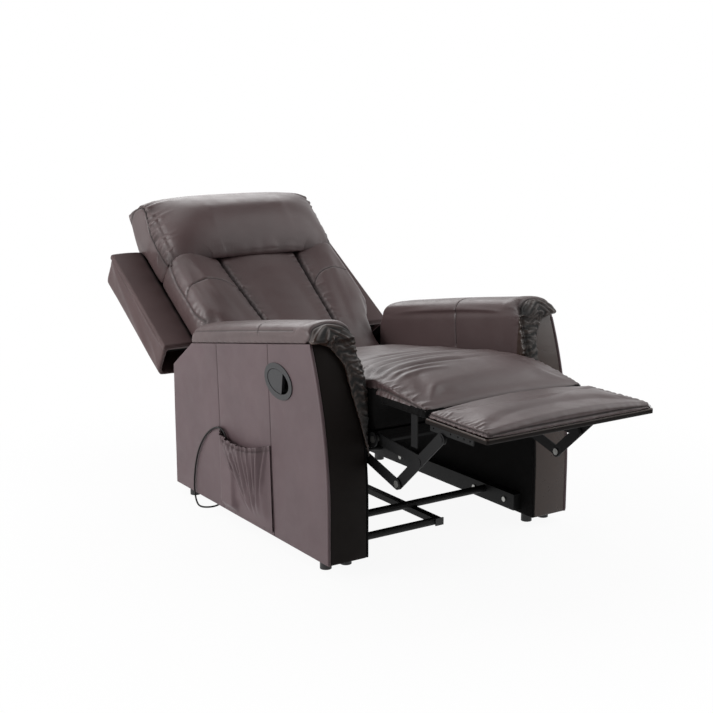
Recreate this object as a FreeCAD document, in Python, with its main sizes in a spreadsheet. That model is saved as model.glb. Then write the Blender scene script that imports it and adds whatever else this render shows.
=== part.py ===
import FreeCAD, Part
import math
import os
import re

import Sketcher
from FreeCAD import Placement, Rotation, Vector

# A manual massage recliner, shown fully reclined with its footrest out.
# +Z is up, the sitter looks along -Y, and X = 0 is the plane of symmetry.
# The sitter's right side is at -X. Lengths are in millimetres, angles in degrees.

DOC = FreeCAD.newDocument("MassageRecliner")

# Driving dimensions: alias, value, meaning.
SIZES = [
    ("arm_outer", 390, "middle of the chair to an arm's outer face"),
    ("arm_inner", 270, "middle of the chair to an arm's inner face"),
    ("arm_front", 397, "arm's foot, forward of the middle"),
    ("arm_rear", 445, "arm's rear edge, behind the middle"),
    ("glide_height", 28, "height of the glides under the arms"),
    ("front_bend_height", 157, "height where the arm's front edge starts to lean back"),
    ("front_arc_radius", 1096, "radius of the arm's leaning front edge"),
    ("seam_front_y", 315, "front end of the seam under the arm pad"),
    ("seam_front_z", 573, "its height"),
    ("seam_rear_y", 325, "rear end of the seam under the arm pad"),
    ("seam_rear_z", 468, "its height"),
    ("rear_edge_height", 387, "height of the arm's vertical rear edge"),
    ("panel_thick", 7, "upholstered hardboard panel of an arm"),
    ("board_thick", 22, "timber board of an arm frame"),
    ("pad_rise", 56, "crown of the arm pad over its seam"),
    ("pad_leg_height", 385, "lower end of the arm pad's run down the inner side"),
    ("pad_overhang", 3, "arm pad over the outer panel"),
    ("pad_inner_bulge", 5, "arm pad over the inner side"),
    ("pad_rear_y", 335, "rear end of the arm pad"),
    ("pad_nose_y", 346, "front end of the arm pad's crown"),
    ("roll_bottom", 262, "lower end of the gathered roll down the arm's inner front edge"),
    ("roll_depth", 15, "gathered roll in front of the front panel"),
    ("glide_radius", 15, "nylon glide"),
    ("glide_inset", 60, "middle of a glide from the arm's end"),
    ("rail_width", 25, "base side rail, square tube"),
    ("rail_height", 45, "base side rail"),
    ("rail_bottom", 40, "underside of the base side rails"),
    ("rail_front", 345, "front end of the base side rails"),
    ("rail_rear", 380, "rear end of the base side rails"),
    ("tube_radius", 10, "cross tubes of the base"),
    ("front_tube_y", 215, "front cross tube, forward of the middle"),
    ("front_tube_z", 70, "its height"),
    ("rear_tube_y", 300, "rear cross tube, behind the middle"),
    ("centre_rail_width", 22, "centre rail of the base"),
    ("centre_rail_depth", 16, "centre rail, height of its section"),
    ("centre_rail_front", 331, "front end of the centre rail"),
    ("half_tube_y", 321, "half cross tube at the front of the centre rail"),
    ("plate_thick", 3, "steel plate of the mechanism"),
    ("layer_gap", 2, "gap between two plates of the mechanism"),
    ("slide_travel", 80, "seat travel from reclined to upright"),
    ("roller_radius", 9, "nylon slide roller"),
    ("stud_radius", 5, "studs and pivot pins of the mechanism"),
    ("pin_gap", 0.05, "radial clearance of a pin in its hole"),
    ("head_radius", 9, "heads of the pivot pins"),
    ("head_thick", 1.3, "heads of the pivot pins"),
    ("front_stud_y", 150, "front slide stud, forward of the middle"),
    ("rear_stud_y", 150, "rear slide stud, behind the middle"),
    ("base_plate_half", 24, "half the height of the slotted plate"),
    ("slide_end_y", "=rear_stud_y + slide_travel", "rear end of the base plate"),
    ("torque_tube_y", 200, "torque tube, forward of the middle"),
    ("torque_tube_z", 265, "its height"),
    ("stud_z", 232, "height of the slide studs"),
    ("link_half_width", 14, "half the width of a footrest link"),
    ("plate_half_width", 18, "half the width of the seat plate's bars"),
    ("drive_pivot_y", 310, "pivot of the drive link on the seat plate"),
    ("drive_pivot_z", 300, "its height"),
    ("knee_y", 500, "pivot between the drive link and the lift link"),
    ("knee_z", 245, "its height"),
    ("bracket_pivot_y", 665, "pivot of the lift link on the footrest bracket"),
    ("bracket_pivot_z", 395, "its height"),
    ("bracket_reach", 115, "footrest bracket, forward of its pivot"),
    ("guide_pivot_y", 405, "pivot of the guide link on the seat plate"),
    ("guide_pivot_z", 336, "its height"),
    ("guide_end_y", 582.5, "free end of the guide link, beside the lift link"),
    ("guide_end_z", 320, "its height"),
    ("hinge_y", 287, "recline hinge, behind the middle"),
    ("hinge_z", 357, "recline hinge, height"),
    ("hinge_pin_radius", 6, "recline hinge pin"),
    ("back_angle", 32.5, "back above the horizontal, fully reclined"),
    ("seat_angle", 7.3, "fall of the seat towards the rear"),
    ("seat_front_y", 399.7, "front lower edge of the seat cushion, forward of the middle"),
    ("seat_front_z", 353, "its height"),
    ("seat_half_width", 255.5, "half the width of the seat cushion"),
    ("seat_length", 586, "seat cushion from front to rear"),
    ("seat_edge_height", 134, "seat cushion at its side seams"),
    ("seat_crown", 14, "crown of the seat cushion over its seams"),
    ("side_swell", 3, "swell of a cushion's sides"),
    ("seat_rail_depth", 25, "seat frame rail, height of its section"),
    ("seat_rail_width", 25, "seat frame rail"),
    ("seat_rail_outer", 245, "middle to the outer side of a seat rail"),
    ("wire_radius", 2, "seat spring wire"),
    ("flap_hinge_z", 426, "crease between the seat and the leg pad, height"),
    ("flap_hinge_y", 400, "crease between the seat and the leg pad"),
    ("foot_hinge_y", 605, "crease between the leg pad and the footrest"),
    ("spacer_front_y", 368, "front spacer under the seat frame, front end"),
    ("spacer_front_z", 321, "front spacer, underside"),
    ("spacer_front_length", 26, "front spacer, length"),
    ("spacer_rear_y", 158, "rear spacer under the seat frame, front end"),
    ("spacer_rear_z", 259, "rear spacer, underside"),
    ("spacer_rear_length", 20, "rear spacer, length"),
    ("spacer_height", 9, "seat spacers, height"),
    ("strap_first", 20, "lowest back strap, lower edge along the back"),
    ("strap_pitch", 100, "back straps, edge to edge"),
    ("inlet_length", 28, "power inlet, length"),
    ("inlet_depth", 4, "power inlet, how far it stands out"),
    ("inlet_height", 20, "power inlet, height"),
    ("tab_front_y", 559, "leg pad's bracket tab, front edge"),
    ("tab_length", 24, "leg pad's bracket tab, length"),
    ("tab_bottom", 346, "leg pad's bracket tab, lower end"),
    ("flap_edge_height", 36, "leg pad at its side seams"),
    ("flap_rise", 18, "leg pad's rear end over its front end"),
    ("flap_crown", 14, "crown of the leg pad"),
    ("bracket_tab_x", 243, "outer side of the leg pad's tabs"),
    ("foot_motor_x", 50, "footrest motor, left of the middle"),
    ("foot_motor_y", 720, "footrest motor, forward of the middle"),
    ("foot_front_y", 835, "front edge of the footrest board"),
    ("foot_board_thick", 12, "footrest board"),
    ("foot_half_width", 255, "half the width of the footrest"),
    ("foot_pad_height", 20, "footrest pad at its seams"),
    ("foot_pad_crown", 16, "crown of the footrest pad"),
    ("crease_gap", 0.15, "gap each side of a crease"),
    ("bead_radius", 3, "hinge bead along a crease"),
    ("bead_gap", 0.1, "clearance round a hinge bead"),
    ("cushion_gap", 0.3, "gap between a cushion and what carries it"),
    ("shell_half_width", 400, "half the width of the back shell"),
    ("shell_rim_inner", 303, "middle to the inner edge of the shell's rim"),
    ("shell_front", 45, "rim of the shell behind the hinge's plane"),
    ("shell_depth", 127, "depth of the shell"),
    ("shell_wall", 16, "padded wall of the shell"),
    ("shell_bottom", 208, "lower end of the shell along the back"),
    ("shell_top", 644, "upper end of the shell along the back"),
    ("back_low_half", 254, "half the width of the back cushion between the arms"),
    ("back_high_half", 301.5, "half the width of the back cushion above the arms"),
    ("back_narrow_end", 140, "where the back cushion starts to widen"),
    ("back_wide_start", 205, "where it has its whole width"),
    ("back_end_radius", 80, "round lower end of the back cushion"),
    ("back_top", 474, "upper end of the back cushion"),
    ("channel_low", 104, "middle to a sewn channel at the lower end"),
    ("channel_high", 140, "middle to a sewn channel at the headrest"),
    ("channel_height", 66, "channel's floor over the hinge's plane"),
    ("back_seam_height", 34, "side seam over the hinge's plane"),
    ("panel_bulge", 18, "swell of the back's sewn panels"),
    ("head_start", 440, "lower edge of the headrest roll"),
    ("head_end", 792, "upper edge of the headrest roll"),
    ("head_height", 164, "headrest roll over the hinge's plane"),
    ("head_half_width", 300, "half the width of the headrest roll"),
    ("post_width", 25, "back post"),
    ("post_depth", 25, "back post"),
    ("post_front", 48, "front side of the posts behind the hinge's plane"),
    ("post_start", 40, "posts below the hinge"),
    ("strap_thick", 1.6, "elastic strap of the back"),
    ("strap_width", 48, "elastic strap of the back"),
    ("handle_y", 165, "middle of the release handle, forward of the middle"),
    ("handle_z", 452, "its height"),
    ("handle_angle", 8, "fall of the handle's long axis towards the front"),
    ("cup_length", 137, "release handle's bezel, long axis"),
    ("cup_width", 91, "release handle's bezel, short axis"),
    ("cup_rim", 15, "bezel's rim"),
    ("cup_depth", 24, "depth of the handle's cup behind the panel"),
    ("cup_wall", 2, "wall of the handle's cup"),
    ("bezel_stand", 3, "bezel in front of the panel"),
    ("paddle_thick", 4, "release paddle"),
    ("paddle_gap", 1.2, "gap round the release paddle"),
    ("finger_length", 34, "finger recess beside the paddle"),
    ("pocket_rear_y", 165, "rear seam of the pocket"),
    ("pocket_front_y", 115, "front seam of the pocket"),
    ("pocket_top", 256, "mouth of the pocket"),
    ("pocket_bottom", 40, "lower seam of the pocket"),
    ("pocket_shelf", 26, "height of the pocket's narrow foot"),
    ("pocket_bulge", 26, "pocket's mouth in front of the panel"),
    ("pocket_sheet", 2, "leather of the pocket"),
    ("handset_length", 138, "massage handset"),
    ("handset_width", 48, "massage handset"),
    ("handset_thick", 17, "massage handset"),
    ("handset_y", 96, "middle of the handset"),
    ("button_radius", 5.5, "handset button"),
    ("button_gap", 0.4, "gap round a handset button"),
    ("button_height", 3.2, "handset button"),
    ("button_stand", 1.6, "button over the handset's face"),
    ("button_pitch", 19, "between two buttons"),
    ("cord_radius", 2.5, "handset cord"),
    ("box_foot", 80, "underside of the control box"),
    ("gland_offset", 25, "cord gland behind the middle of the control box"),
    ("box_length", 150, "control box"),
    ("box_width", 90, "control box"),
    ("box_height", 42, "control box"),
    ("back_motor_x", 110, "back motors from the middle"),
    ("motor_radius", 30, "vibration motor"),
    ("motor_height", 27, "vibration motor"),
]

SHEET = DOC.addObject("Spreadsheet::Sheet", "Sizes")
for row, (alias, value, meaning) in enumerate(SIZES, start=1):
    SHEET.set(f"A{row}", alias)
    SHEET.set(f"B{row}", str(value))
    SHEET.set(f"C{row}", meaning)
    SHEET.setAlias(f"B{row}", alias)
DOC.recompute()

PIECES = []


def size(alias):
    """The value of one driving dimension."""
    return float(SHEET.get(alias))


def signed(term):
    """The value of an alias with an optional minus sign."""
    return -size(term[1:]) if term.startswith("-") else size(term)


def cells(formula):
    """The formula with each alias pointed at its cell."""
    return re.sub(r"[a-z][a-z_]*", lambda word: "Sizes." + word.group(0), formula)


def bind(item, prop, formula):
    """Ties a property to the sheet."""
    item.setExpression(prop, cells(formula))


def keep(label, item):
    """Names a sub-part, which is written to its own file."""
    item.Label = label
    PIECES.append(item)
    return item


# Solids from primitives and booleans

def block(corner, extent):
    """A box from its lowest corner and its three lengths, all formulas."""
    item = DOC.addObject("Part::Box", "Block")
    for axis, formula in zip("xyz", corner):
        bind(item, f"Placement.Base.{axis}", formula)
    for prop, formula in zip(("Length", "Width", "Height"), extent):
        bind(item, prop, formula)
    return item


TURNS = {"X": Rotation(Vector(0, 1, 0), 90), "Y": Rotation(Vector(1, 0, 0), -90), "Z": Rotation()}


def rod(axis, start, radius, length):
    """A round bar from the middle of its first end, along one axis."""
    item = DOC.addObject("Part::Cylinder", "Rod")
    item.Placement = Placement(Vector(), TURNS[axis])
    for letter, formula in zip("xyz", start):
        bind(item, f"Placement.Base.{letter}", formula)
    bind(item, "Radius", radius)
    bind(item, "Height", length)
    return item


def fuse(items):
    """One solid from several that meet."""
    item = DOC.addObject("Part::MultiFuse", "Fusion")
    item.Shapes = items
    return item


def cut(base, tools):
    """A solid less its openings."""
    item = DOC.addObject("Part::Cut", "Cut")
    item.Base = base
    item.Tool = tools[0] if len(tools) == 1 else fuse(tools)
    return item


def common(first, second):
    """What two solids share."""
    item = DOC.addObject("Part::MultiCommon", "Common")
    item.Shapes = [first, second]
    return item


def group(items):
    """Separate solids that are one sub-part."""
    item = DOC.addObject("Part::Compound", "Group")
    item.Links = items
    return item


def mirrored(item):
    """The same piece on the chair's other side."""
    copy = DOC.addObject("Part::Mirroring", "Mirror")
    copy.Source = item
    copy.Normal = Vector(1, 0, 0)
    return copy


def both_sides(label, item):
    """A right and a left sub-part from the right one."""
    keep(label + "_right", item)
    return keep(label + "_left", mirrored(item))


def pair(label, item):
    """One sub-part that holds the right and the left piece."""
    return keep(label, group([item, mirrored(item)]))


def tilted(item, height_y, height_z, angle):
    """Puts a piece, drawn level at the origin, into a sloping frame."""
    holder = group([item])
    holder.Placement = Placement(Vector(), Rotation(Vector(1, 0, 0), 1))
    bind(holder, "Placement.Base.y", height_y)
    bind(holder, "Placement.Base.z", height_z)
    bind(holder, "Placement.Rotation.Angle", angle)
    return holder


def on_back(item):
    """Drawn with Y along the back and Z out of its front, from the recline hinge."""
    return tilted(item, "hinge_y", "hinge_z", "back_angle")


def on_seat(item):
    """Drawn with Y towards the rear, from the front lower edge of the seat cushion."""
    return tilted(item, "-seat_front_y", "seat_front_z", "-seat_angle")


def shaped(shape):
    """A solid whose shape no primitive or sketch gives."""
    item = DOC.addObject("Part::Feature", "Form")
    item.Shape = shape
    return item


# Plates of the mechanism, each a body with sketches on its side plane

def new_body(place_x):
    """A body whose side plane stands at one distance from the middle."""
    body = DOC.addObject("PartDesign::Body", "Plate")
    bind(body, "Placement.Base.x", place_x)
    return body


def side_sketch(body):
    """A sketch with Y across and Z up."""
    sketch = body.newObject("Sketcher::SketchObject", "Outline")
    plane = next(item for item in body.Origin.OriginFeatures if item.Role == "YZ_Plane")
    sketch.AttachmentSupport = (plane, [""])
    sketch.MapMode = "FlatFace"
    return sketch


def tie(sketch, edge, end, place):
    """Holds one point of a sketch at a place named in the sheet."""
    for kind, term in zip(("DistanceX", "DistanceY"), place):
        rule = Sketcher.Constraint(kind, -1, 1, edge, end, signed(term))
        sketch.setExpression(f"Constraints[{sketch.addConstraint(rule)}]", cells(term))


def tie_radius(sketch, edge, formula, value):
    """Holds a radius at a formula of the sheet."""
    index = sketch.addConstraint(Sketcher.Constraint("Radius", edge, value))
    sketch.setExpression(f"Constraints[{index}]", cells(formula))


def spot(place):
    """A sketch point from two signed aliases."""
    return Vector(signed(place[0]), signed(place[1]), 0)


def pad(body, sketch, length):
    """A plate of the sketch's outline."""
    feature = body.newObject("PartDesign::Pad", "Pad")
    feature.Profile = sketch
    bind(feature, "Length", length)
    sketch.Visibility = False
    return feature


def bar(body, first, last, half_width):
    """A round-ended bar between two pivots."""
    sketch = side_sketch(body)
    start, end = spot(first), spot(last)
    radius = size(half_width)
    angle = math.atan2(end.y - start.y, end.x - start.x)
    side = Vector(-math.sin(angle), math.cos(angle), 0) * radius
    up = Vector(0, 0, 1)
    turn = math.pi / 2
    sketch.addGeometry(Part.ArcOfCircle(Part.Circle(start, up, radius), angle + turn, angle + 3 * turn))
    sketch.addGeometry(Part.LineSegment(start - side, end - side))
    sketch.addGeometry(Part.ArcOfCircle(Part.Circle(end, up, radius), angle - turn, angle + turn))
    sketch.addGeometry(Part.LineSegment(end + side, start + side))
    for edge, after in ((0, 1), (1, 2), (2, 3), (3, 0)):
        sketch.addConstraint(Sketcher.Constraint("Tangent", edge, 2, after, 1))
    tie(sketch, 0, 3, first)
    tie(sketch, 2, 3, last)
    tie_radius(sketch, 0, half_width, radius)
    return pad(body, sketch, "plate_thick")


def drill(body, places, formula, value):
    """Round holes through a plate."""
    sketch = side_sketch(body)
    for edge, place in enumerate(places):
        sketch.addGeometry(Part.Circle(spot(place), Vector(0, 0, 1), value))
        tie(sketch, edge, 3, place)
        tie_radius(sketch, edge, formula, value)
    return pierce(body, sketch)


def pierce(body, sketch):
    """Cuts a sketch right through its body."""
    DOC.recompute()
    before = body.Shape.Volume
    feature = body.newObject("PartDesign::Pocket", "Cutout")
    feature.Profile = sketch
    feature.Type = "ThroughAll"
    feature.Reversed = True
    sketch.Visibility = False
    DOC.recompute()
    if not body.Shape.Volume < before:
        raise ValueError(body.Label + ": a cut-out removed nothing")
    return feature


def plate_outer(layer):
    """Outer face of a layer of the mechanism, counted from the arm inwards."""
    return f"arm_inner - {layer} * (plate_thick + layer_gap)"


def plate_inner(layer):
    """Inner face of a layer of the mechanism."""
    return f"arm_inner - {layer} * (plate_thick + layer_gap) - plate_thick"


BASE_LAYER, SEAT_LAYER, DRIVE_LAYER, LIFT_LAYER, GUIDE_LAYER = range(5)

DRIVE_PIVOT = ("-drive_pivot_y", "drive_pivot_z")
KNEE = ("-knee_y", "knee_z")
BRACKET_PIVOT = ("-bracket_pivot_y", "bracket_pivot_z")
GUIDE_PIVOT = ("-guide_pivot_y", "guide_pivot_z")
GUIDE_END = ("-guide_end_y", "guide_end_z")
FRONT_STUD = ("-front_stud_y", "stud_z")
REAR_STUD = ("rear_stud_y", "stud_z")
HINGE = ("hinge_y", "hinge_z")


def pin(place, first_layer, last_layer, radius):
    """A headed pin through the right-hand plates from one layer to another."""
    outer = plate_outer(first_layer)
    inner = plate_inner(last_layer)
    play = "layer_gap * 0.08"
    shank = rod("X", (f"-({outer}) - {play}", *place), radius, f"{outer} - ({inner}) + 2 * {play}")
    heads = [
        rod("X", (f"-({outer}) - {play} - head_thick", *place), "head_radius", "head_thick"),
        rod("X", (f"-({inner}) + {play}", *place), "head_radius", "head_thick"),
    ]
    return fuse([shank] + heads)


# Arms

OUTLINE_POINTS = [
    ("-arm_front", "glide_height"),
    ("-arm_front", "front_bend_height"),
    ("-seam_front_y", "seam_front_z"),
    ("seam_rear_y", "seam_rear_z"),
    ("arm_rear", "rear_edge_height"),
    ("arm_rear", "glide_height"),
]


def arm_slice(outer, thick, shift_y="0", shift_z="0"):
    """A slice of the right arm's side outline, from its outer face inwards."""
    body = new_body(f"-({outer})")
    bind(body, "Placement.Base.y", shift_y)
    bind(body, "Placement.Base.z", shift_z)
    sketch = side_sketch(body)
    points = [spot(place) for place in OUTLINE_POINTS]
    radius = size("front_arc_radius")
    chord = points[2] - points[1]
    inwards = Vector(chord.y, -chord.x, 0)
    inwards.normalize()
    reach = math.sqrt(radius ** 2 - chord.Length ** 2 / 4)
    centre = (points[1] + points[2]) * 0.5 + inwards * reach
    middle = centre - inwards * radius
    for edge, start in enumerate(points):
        end = points[(edge + 1) % len(points)]
        if edge == 1:
            sketch.addGeometry(Part.Arc(start, middle, end))
        else:
            sketch.addGeometry(Part.LineSegment(start, end))
    for edge, place in enumerate(OUTLINE_POINTS):
        if edge != 1:
            tie(sketch, edge, 1, place)
    # The arc runs clockwise, so the sketch keeps its ends the other way round.
    sketch.addConstraint(Sketcher.Constraint("Coincident", 0, 2, 1, 2))
    sketch.addConstraint(Sketcher.Constraint("Coincident", 1, 1, 2, 1))
    for edge in (2, 3, 4, 5):
        after = edge + 1 if edge < 5 else 0
        sketch.addConstraint(Sketcher.Constraint("Coincident", edge, 2, after, 1))
    tie_radius(sketch, 1, "front_arc_radius", radius)
    tie(sketch, 0, 2, OUTLINE_POINTS[1])
    pad(body, sketch, thick)
    return body


def oval(long_half, short_half, x_from, length):
    """An oval plug along X round the middle of the handle, long axis along its local Y."""
    ring = Part.Ellipse(Vector(0, long_half, 0), Vector(short_half, 0, 0), Vector(0, 0, 0)).toShape()
    solid = Part.Face(Part.Wire([ring])).extrude(Vector(0, 0, length))
    solid.rotate(Vector(), Vector(0, 1, 0), 90)
    solid.translate(Vector(x_from, 0, 0))
    return shaped(solid)


def on_handle(item):
    """Drawn round the middle of the release handle, with Y along its long axis."""
    return tilted(item, "-handle_y", "handle_z", "handle_angle")


INSIDE = "arm_outer - panel_thick"
CORE_WIDTH = "arm_outer - arm_inner - 2 * panel_thick"
LONG_HALF = size("cup_length") / 2
SHORT_HALF = size("cup_width") / 2
OUTER = size("arm_outer")

outer_panel = arm_slice("arm_outer", "panel_thick")
keep("arm_outer_panel_left", mirrored(outer_panel))
cup_hole = oval(
    LONG_HALF - size("cup_rim") + size("cup_wall") + 0.3,
    SHORT_HALF - size("cup_rim") + size("cup_wall") + 0.3,
    -OUTER - 5, size("panel_thick") + 10)
keep("arm_outer_panel_right", cut(arm_slice("arm_outer", "panel_thick"), [on_handle(cup_hole)]))

below_pad = block(
    ("-arm_inner - panel_thick - 1", "-arm_front - 1", "0"),
    ("panel_thick + 2", "arm_front + arm_rear + 2", "pad_leg_height"))
pair("arm_inner_panels", common(arm_slice("arm_inner + panel_thick", "panel_thick"), below_pad))

front_strip = cut(arm_slice(INSIDE, CORE_WIDTH), [arm_slice(INSIDE, CORE_WIDTH, "panel_thick")])
front_zone = block(
    ("-arm_outer", "-arm_front - 1", "0"),
    ("arm_outer - arm_inner", "arm_front - seam_front_y + 1", "2 * seam_front_z"))
pair("arm_front_panels", common(front_strip, front_zone))

rear_strip = cut(arm_slice(INSIDE, CORE_WIDTH), [arm_slice(INSIDE, CORE_WIDTH, "-panel_thick")])
rear_zone = block(
    ("-arm_outer", "seam_rear_y", "0"),
    ("arm_outer - arm_inner", "arm_rear - seam_rear_y + 1", "2 * seam_front_z"))
pair("arm_rear_panels", common(rear_strip, rear_zone))


def arm_board(y_from, y_to, z_from, z_to):
    """The room of one board across an arm frame."""
    return block(
        (f"-({INSIDE})", y_from, z_from),
        (CORE_WIDTH, f"({y_to}) - ({y_from})", f"({z_to}) - ({z_from})"))


BOARD_TOP = "glide_height + board_thick"
boards = [
    arm_board("-arm_front + panel_thick", "arm_rear - panel_thick", "glide_height", BOARD_TOP),
    common(
        cut(
            arm_slice(INSIDE, CORE_WIDTH, "panel_thick"),
            [arm_slice(INSIDE, CORE_WIDTH, "panel_thick + board_thick")]),
        arm_board(
            "-arm_front", "-seam_front_y + 3 * board_thick", BOARD_TOP, "seam_front_z - board_thick - 3")),
    common(
        cut(arm_slice(INSIDE, CORE_WIDTH), [arm_slice(INSIDE, CORE_WIDTH, "0", "-board_thick")]),
        arm_board("-seam_front_y + 15", "seam_rear_y - 7", BOARD_TOP, "seam_front_z")),
    common(
        cut(
            arm_slice(INSIDE, CORE_WIDTH, "-panel_thick"),
            [arm_slice(INSIDE, CORE_WIDTH, "-panel_thick", "-board_thick")]),
        arm_board("seam_rear_y + 1", "arm_rear - 1.5 * board_thick", BOARD_TOP, "seam_rear_z")),
    arm_board(
        "arm_rear - panel_thick - board_thick", "arm_rear - panel_thick", BOARD_TOP, "rear_edge_height"),
]
both_sides("arm_frame", group(boards))

glides = [
    rod("Z", (f"-arm_inner - {inset}", place, "0"), "glide_radius", "glide_height")
    for inset in ("30", "90")
    for place in ("-arm_front + glide_inset", "arm_rear - glide_inset")
]
pair("arm_glides", group(glides))


# Formed pieces

def outline(points, bulges, normal):
    """A closed wire; each bulge is the rise of that edge's arc to the left of its direction."""
    edges = []
    for index, start in enumerate(points):
        end = points[(index + 1) % len(points)]
        rise = bulges[index]
        if rise == 0:
            edges.append(Part.LineSegment(start, end).toShape())
            continue
        left = normal.cross(end - start)
        left.normalize()
        middle = (start + end) * 0.5 + left * rise
        edges.append(Part.Arc(start, middle, end).toShape())
    return Part.Wire(edges)


def loft(wires):
    """A solid through a row of like wires."""
    solid = Part.makeLoft(wires, True, False)
    return solid


ALONG_X = Vector(1, 0, 0)
ALONG_Y = Vector(0, 1, 0)
ALONG_Z = Vector(0, 0, 1)


def seam_height(y):
    """Height of the seam under the arm pad."""
    front, rear = -size("seam_front_y"), size("seam_rear_y")
    share = (y - front) / (rear - front)
    return size("seam_front_z") + share * (size("seam_rear_z") - size("seam_front_z"))


def pad_profile(x, rise, draw):
    """Side outline of the arm pad at one distance from the middle."""
    nose = -size("pad_nose_y") + draw
    tail = size("pad_rear_y") - draw
    front = -size("seam_front_y")
    rear = size("seam_rear_y")
    points = [
        Vector(x, rear, seam_height(rear)),
        Vector(x, tail, seam_height(tail) + rise * 0.55),
        Vector(x, tail - 34, seam_height(tail - 34) + rise),
        Vector(x, nose + 95, seam_height(nose + 95) + rise),
        Vector(x, nose, seam_height(nose) + rise * 0.1),
        Vector(x, front, seam_height(front)),
    ]
    bulges = [-2, -7, -4, -19, -5, 0]
    return outline(points, bulges, ALONG_X)


def arm_pad():
    """Crowned pad over an arm's top."""
    rise = size("pad_rise")
    outer = -size("arm_outer") - size("pad_overhang")
    inner = -size("arm_inner") + size("pad_inner_bulge")
    stations = [
        (outer, rise * 0.45, 8),
        (outer + 12, rise * 0.8, 2),
        (outer + 45, rise * 0.97, 0),
        ((outer + inner) / 2, rise, 0),
        (inner - 36, rise * 0.97, 0),
        (inner - 10, rise * 0.8, 2),
        (inner, rise * 0.45, 8),
    ]
    return shaped(loft([pad_profile(*station) for station in stations]))


roll_strip = cut(
    arm_slice("arm_outer", "arm_outer - arm_inner + pad_inner_bulge", "-roll_depth"),
    [arm_slice("arm_outer", "arm_outer - arm_inner + pad_inner_bulge")])
# The roll's outer edge from the front: out from the arm's inner face, and up from the roll's lower end.
ROLL_STEPS = [(14, 93), (32, 184), (41, 257), (72, 300)]
roll_face = -size("arm_front") - 2 * size("roll_depth")
roll_inner = -size("arm_inner") + size("pad_inner_bulge")
roll_edge = [
    Vector(roll_inner, roll_face, size("roll_bottom")),
    *(Vector(-size("arm_inner") - out, roll_face, size("roll_bottom") + up) for out, up in ROLL_STEPS),
    Vector(-size("arm_outer") + ROLL_STEPS[0][0], roll_face, size("seam_front_z")),
    Vector(roll_inner, roll_face, size("seam_front_z")),
]
roll_outline = outline(roll_edge, [0] * len(roll_edge), ALONG_Y)
roll_room = Part.Face(roll_outline).extrude(Vector(0, -roll_face - size("seam_front_y"), 0))
pad_leg = common(
    arm_slice("arm_inner + panel_thick", "panel_thick + pad_inner_bulge"),
    block(
        ("-arm_inner - panel_thick - 1", "-arm_front", "pad_leg_height"),
        ("panel_thick + pad_inner_bulge + 2", "arm_front + pad_rear_y", "2 * seam_front_z")))
hinge_room = rod(
    "X", ("-arm_inner - panel_thick - 2", *HINGE), "head_radius + cushion_gap",
    "panel_thick + pad_inner_bulge + 4")
pin_room = block(
    ("-arm_inner + 2", "-arm_front - roll_depth - 1", "0"),
    ("pad_inner_bulge", "arm_front - seam_front_y + roll_depth", "pad_leg_height"))
roll = cut(common(roll_strip, shaped(roll_room)), [pin_room])
both_sides("arm_pad", fuse([arm_pad(), cut(pad_leg, [hinge_room]), roll]))


# Base

pair("base_side_rails", block(
    ("-arm_inner", "-rail_front", "rail_bottom"),
    ("rail_width", "rail_front + rail_rear", "rail_height")))

RAIL_INNER = "arm_inner - rail_width"
keep("base_front_tube", rod(
    "X", (f"-({RAIL_INNER})", "-front_tube_y", "front_tube_z"), "tube_radius", f"2 * ({RAIL_INNER})"))
keep("base_rear_tube", rod(
    "X", (f"-({RAIL_INNER})", "rear_tube_y", "front_tube_z"), "tube_radius", f"2 * ({RAIL_INNER})"))
CENTRE_RAIL_Z = "front_tube_z - tube_radius - centre_rail_depth"
keep("base_centre_rail", block(
    ("-centre_rail_width / 2", "-centre_rail_front", CENTRE_RAIL_Z),
    ("centre_rail_width", "centre_rail_front + rear_tube_y + tube_radius", "centre_rail_depth")))
keep("centre_rail_cap", block(
    ("-centre_rail_width / 2 - 2", "-centre_rail_front - 3", f"{CENTRE_RAIL_Z} - 2"),
    ("centre_rail_width + 4", "3", "centre_rail_depth + 4")))
keep("base_half_tube", rod(
    "X", (f"-({RAIL_INNER})", "-half_tube_y", f"{CENTRE_RAIL_Z} + centre_rail_depth / 2"),
    "tube_radius", f"{RAIL_INNER} - centre_rail_width / 2"))
bolts = [
    rod("X", (f"-({RAIL_INNER})", place, "rail_bottom + rail_height / 2"), "head_radius - 2", "3")
    for place in ("-rail_front + 40", "-rail_front / 2", "rail_rear / 2", "rail_rear - 40")
]
pair("rail_bolts", group(bolts))


def base_plate():
    """Slotted plate on an arm's inner face, in which the seat's rollers run."""
    body = new_body(f"-({plate_outer(BASE_LAYER)})")
    first = ("-front_stud_y", "stud_z")
    last = ("slide_end_y", "stud_z")
    bar(body, first, last, "base_plate_half")
    sketch = side_sketch(body)
    edge = 0
    radius = size("roller_radius") + 0.1
    for stud in (-size("front_stud_y"), size("rear_stud_y")):
        level = size("stud_z")
        start = Vector(stud, level, 0)
        end = Vector(stud + size("slide_travel"), level, 0)
        side = Vector(0, radius, 0)
        sketch.addGeometry(Part.ArcOfCircle(Part.Circle(start, ALONG_Z, radius), math.pi / 2, 1.5 * math.pi))
        sketch.addGeometry(Part.LineSegment(start - side, end - side))
        sketch.addGeometry(Part.ArcOfCircle(Part.Circle(end, ALONG_Z, radius), -math.pi / 2, math.pi / 2))
        sketch.addGeometry(Part.LineSegment(end + side, start + side))
        for before, after in ((0, 1), (1, 2), (2, 3), (3, 0)):
            sketch.addConstraint(Sketcher.Constraint("Tangent", edge + before, 2, edge + after, 1))
        name = "-front_stud_y" if stud < 0 else "rear_stud_y"
        tie(sketch, edge, 3, (name, "stud_z"))
        tie_between(sketch, edge, "slide_travel")
        tie_radius(sketch, edge, "roller_radius + 0.1", radius)
        edge += 4
    pierce(body, sketch)
    return body


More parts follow.
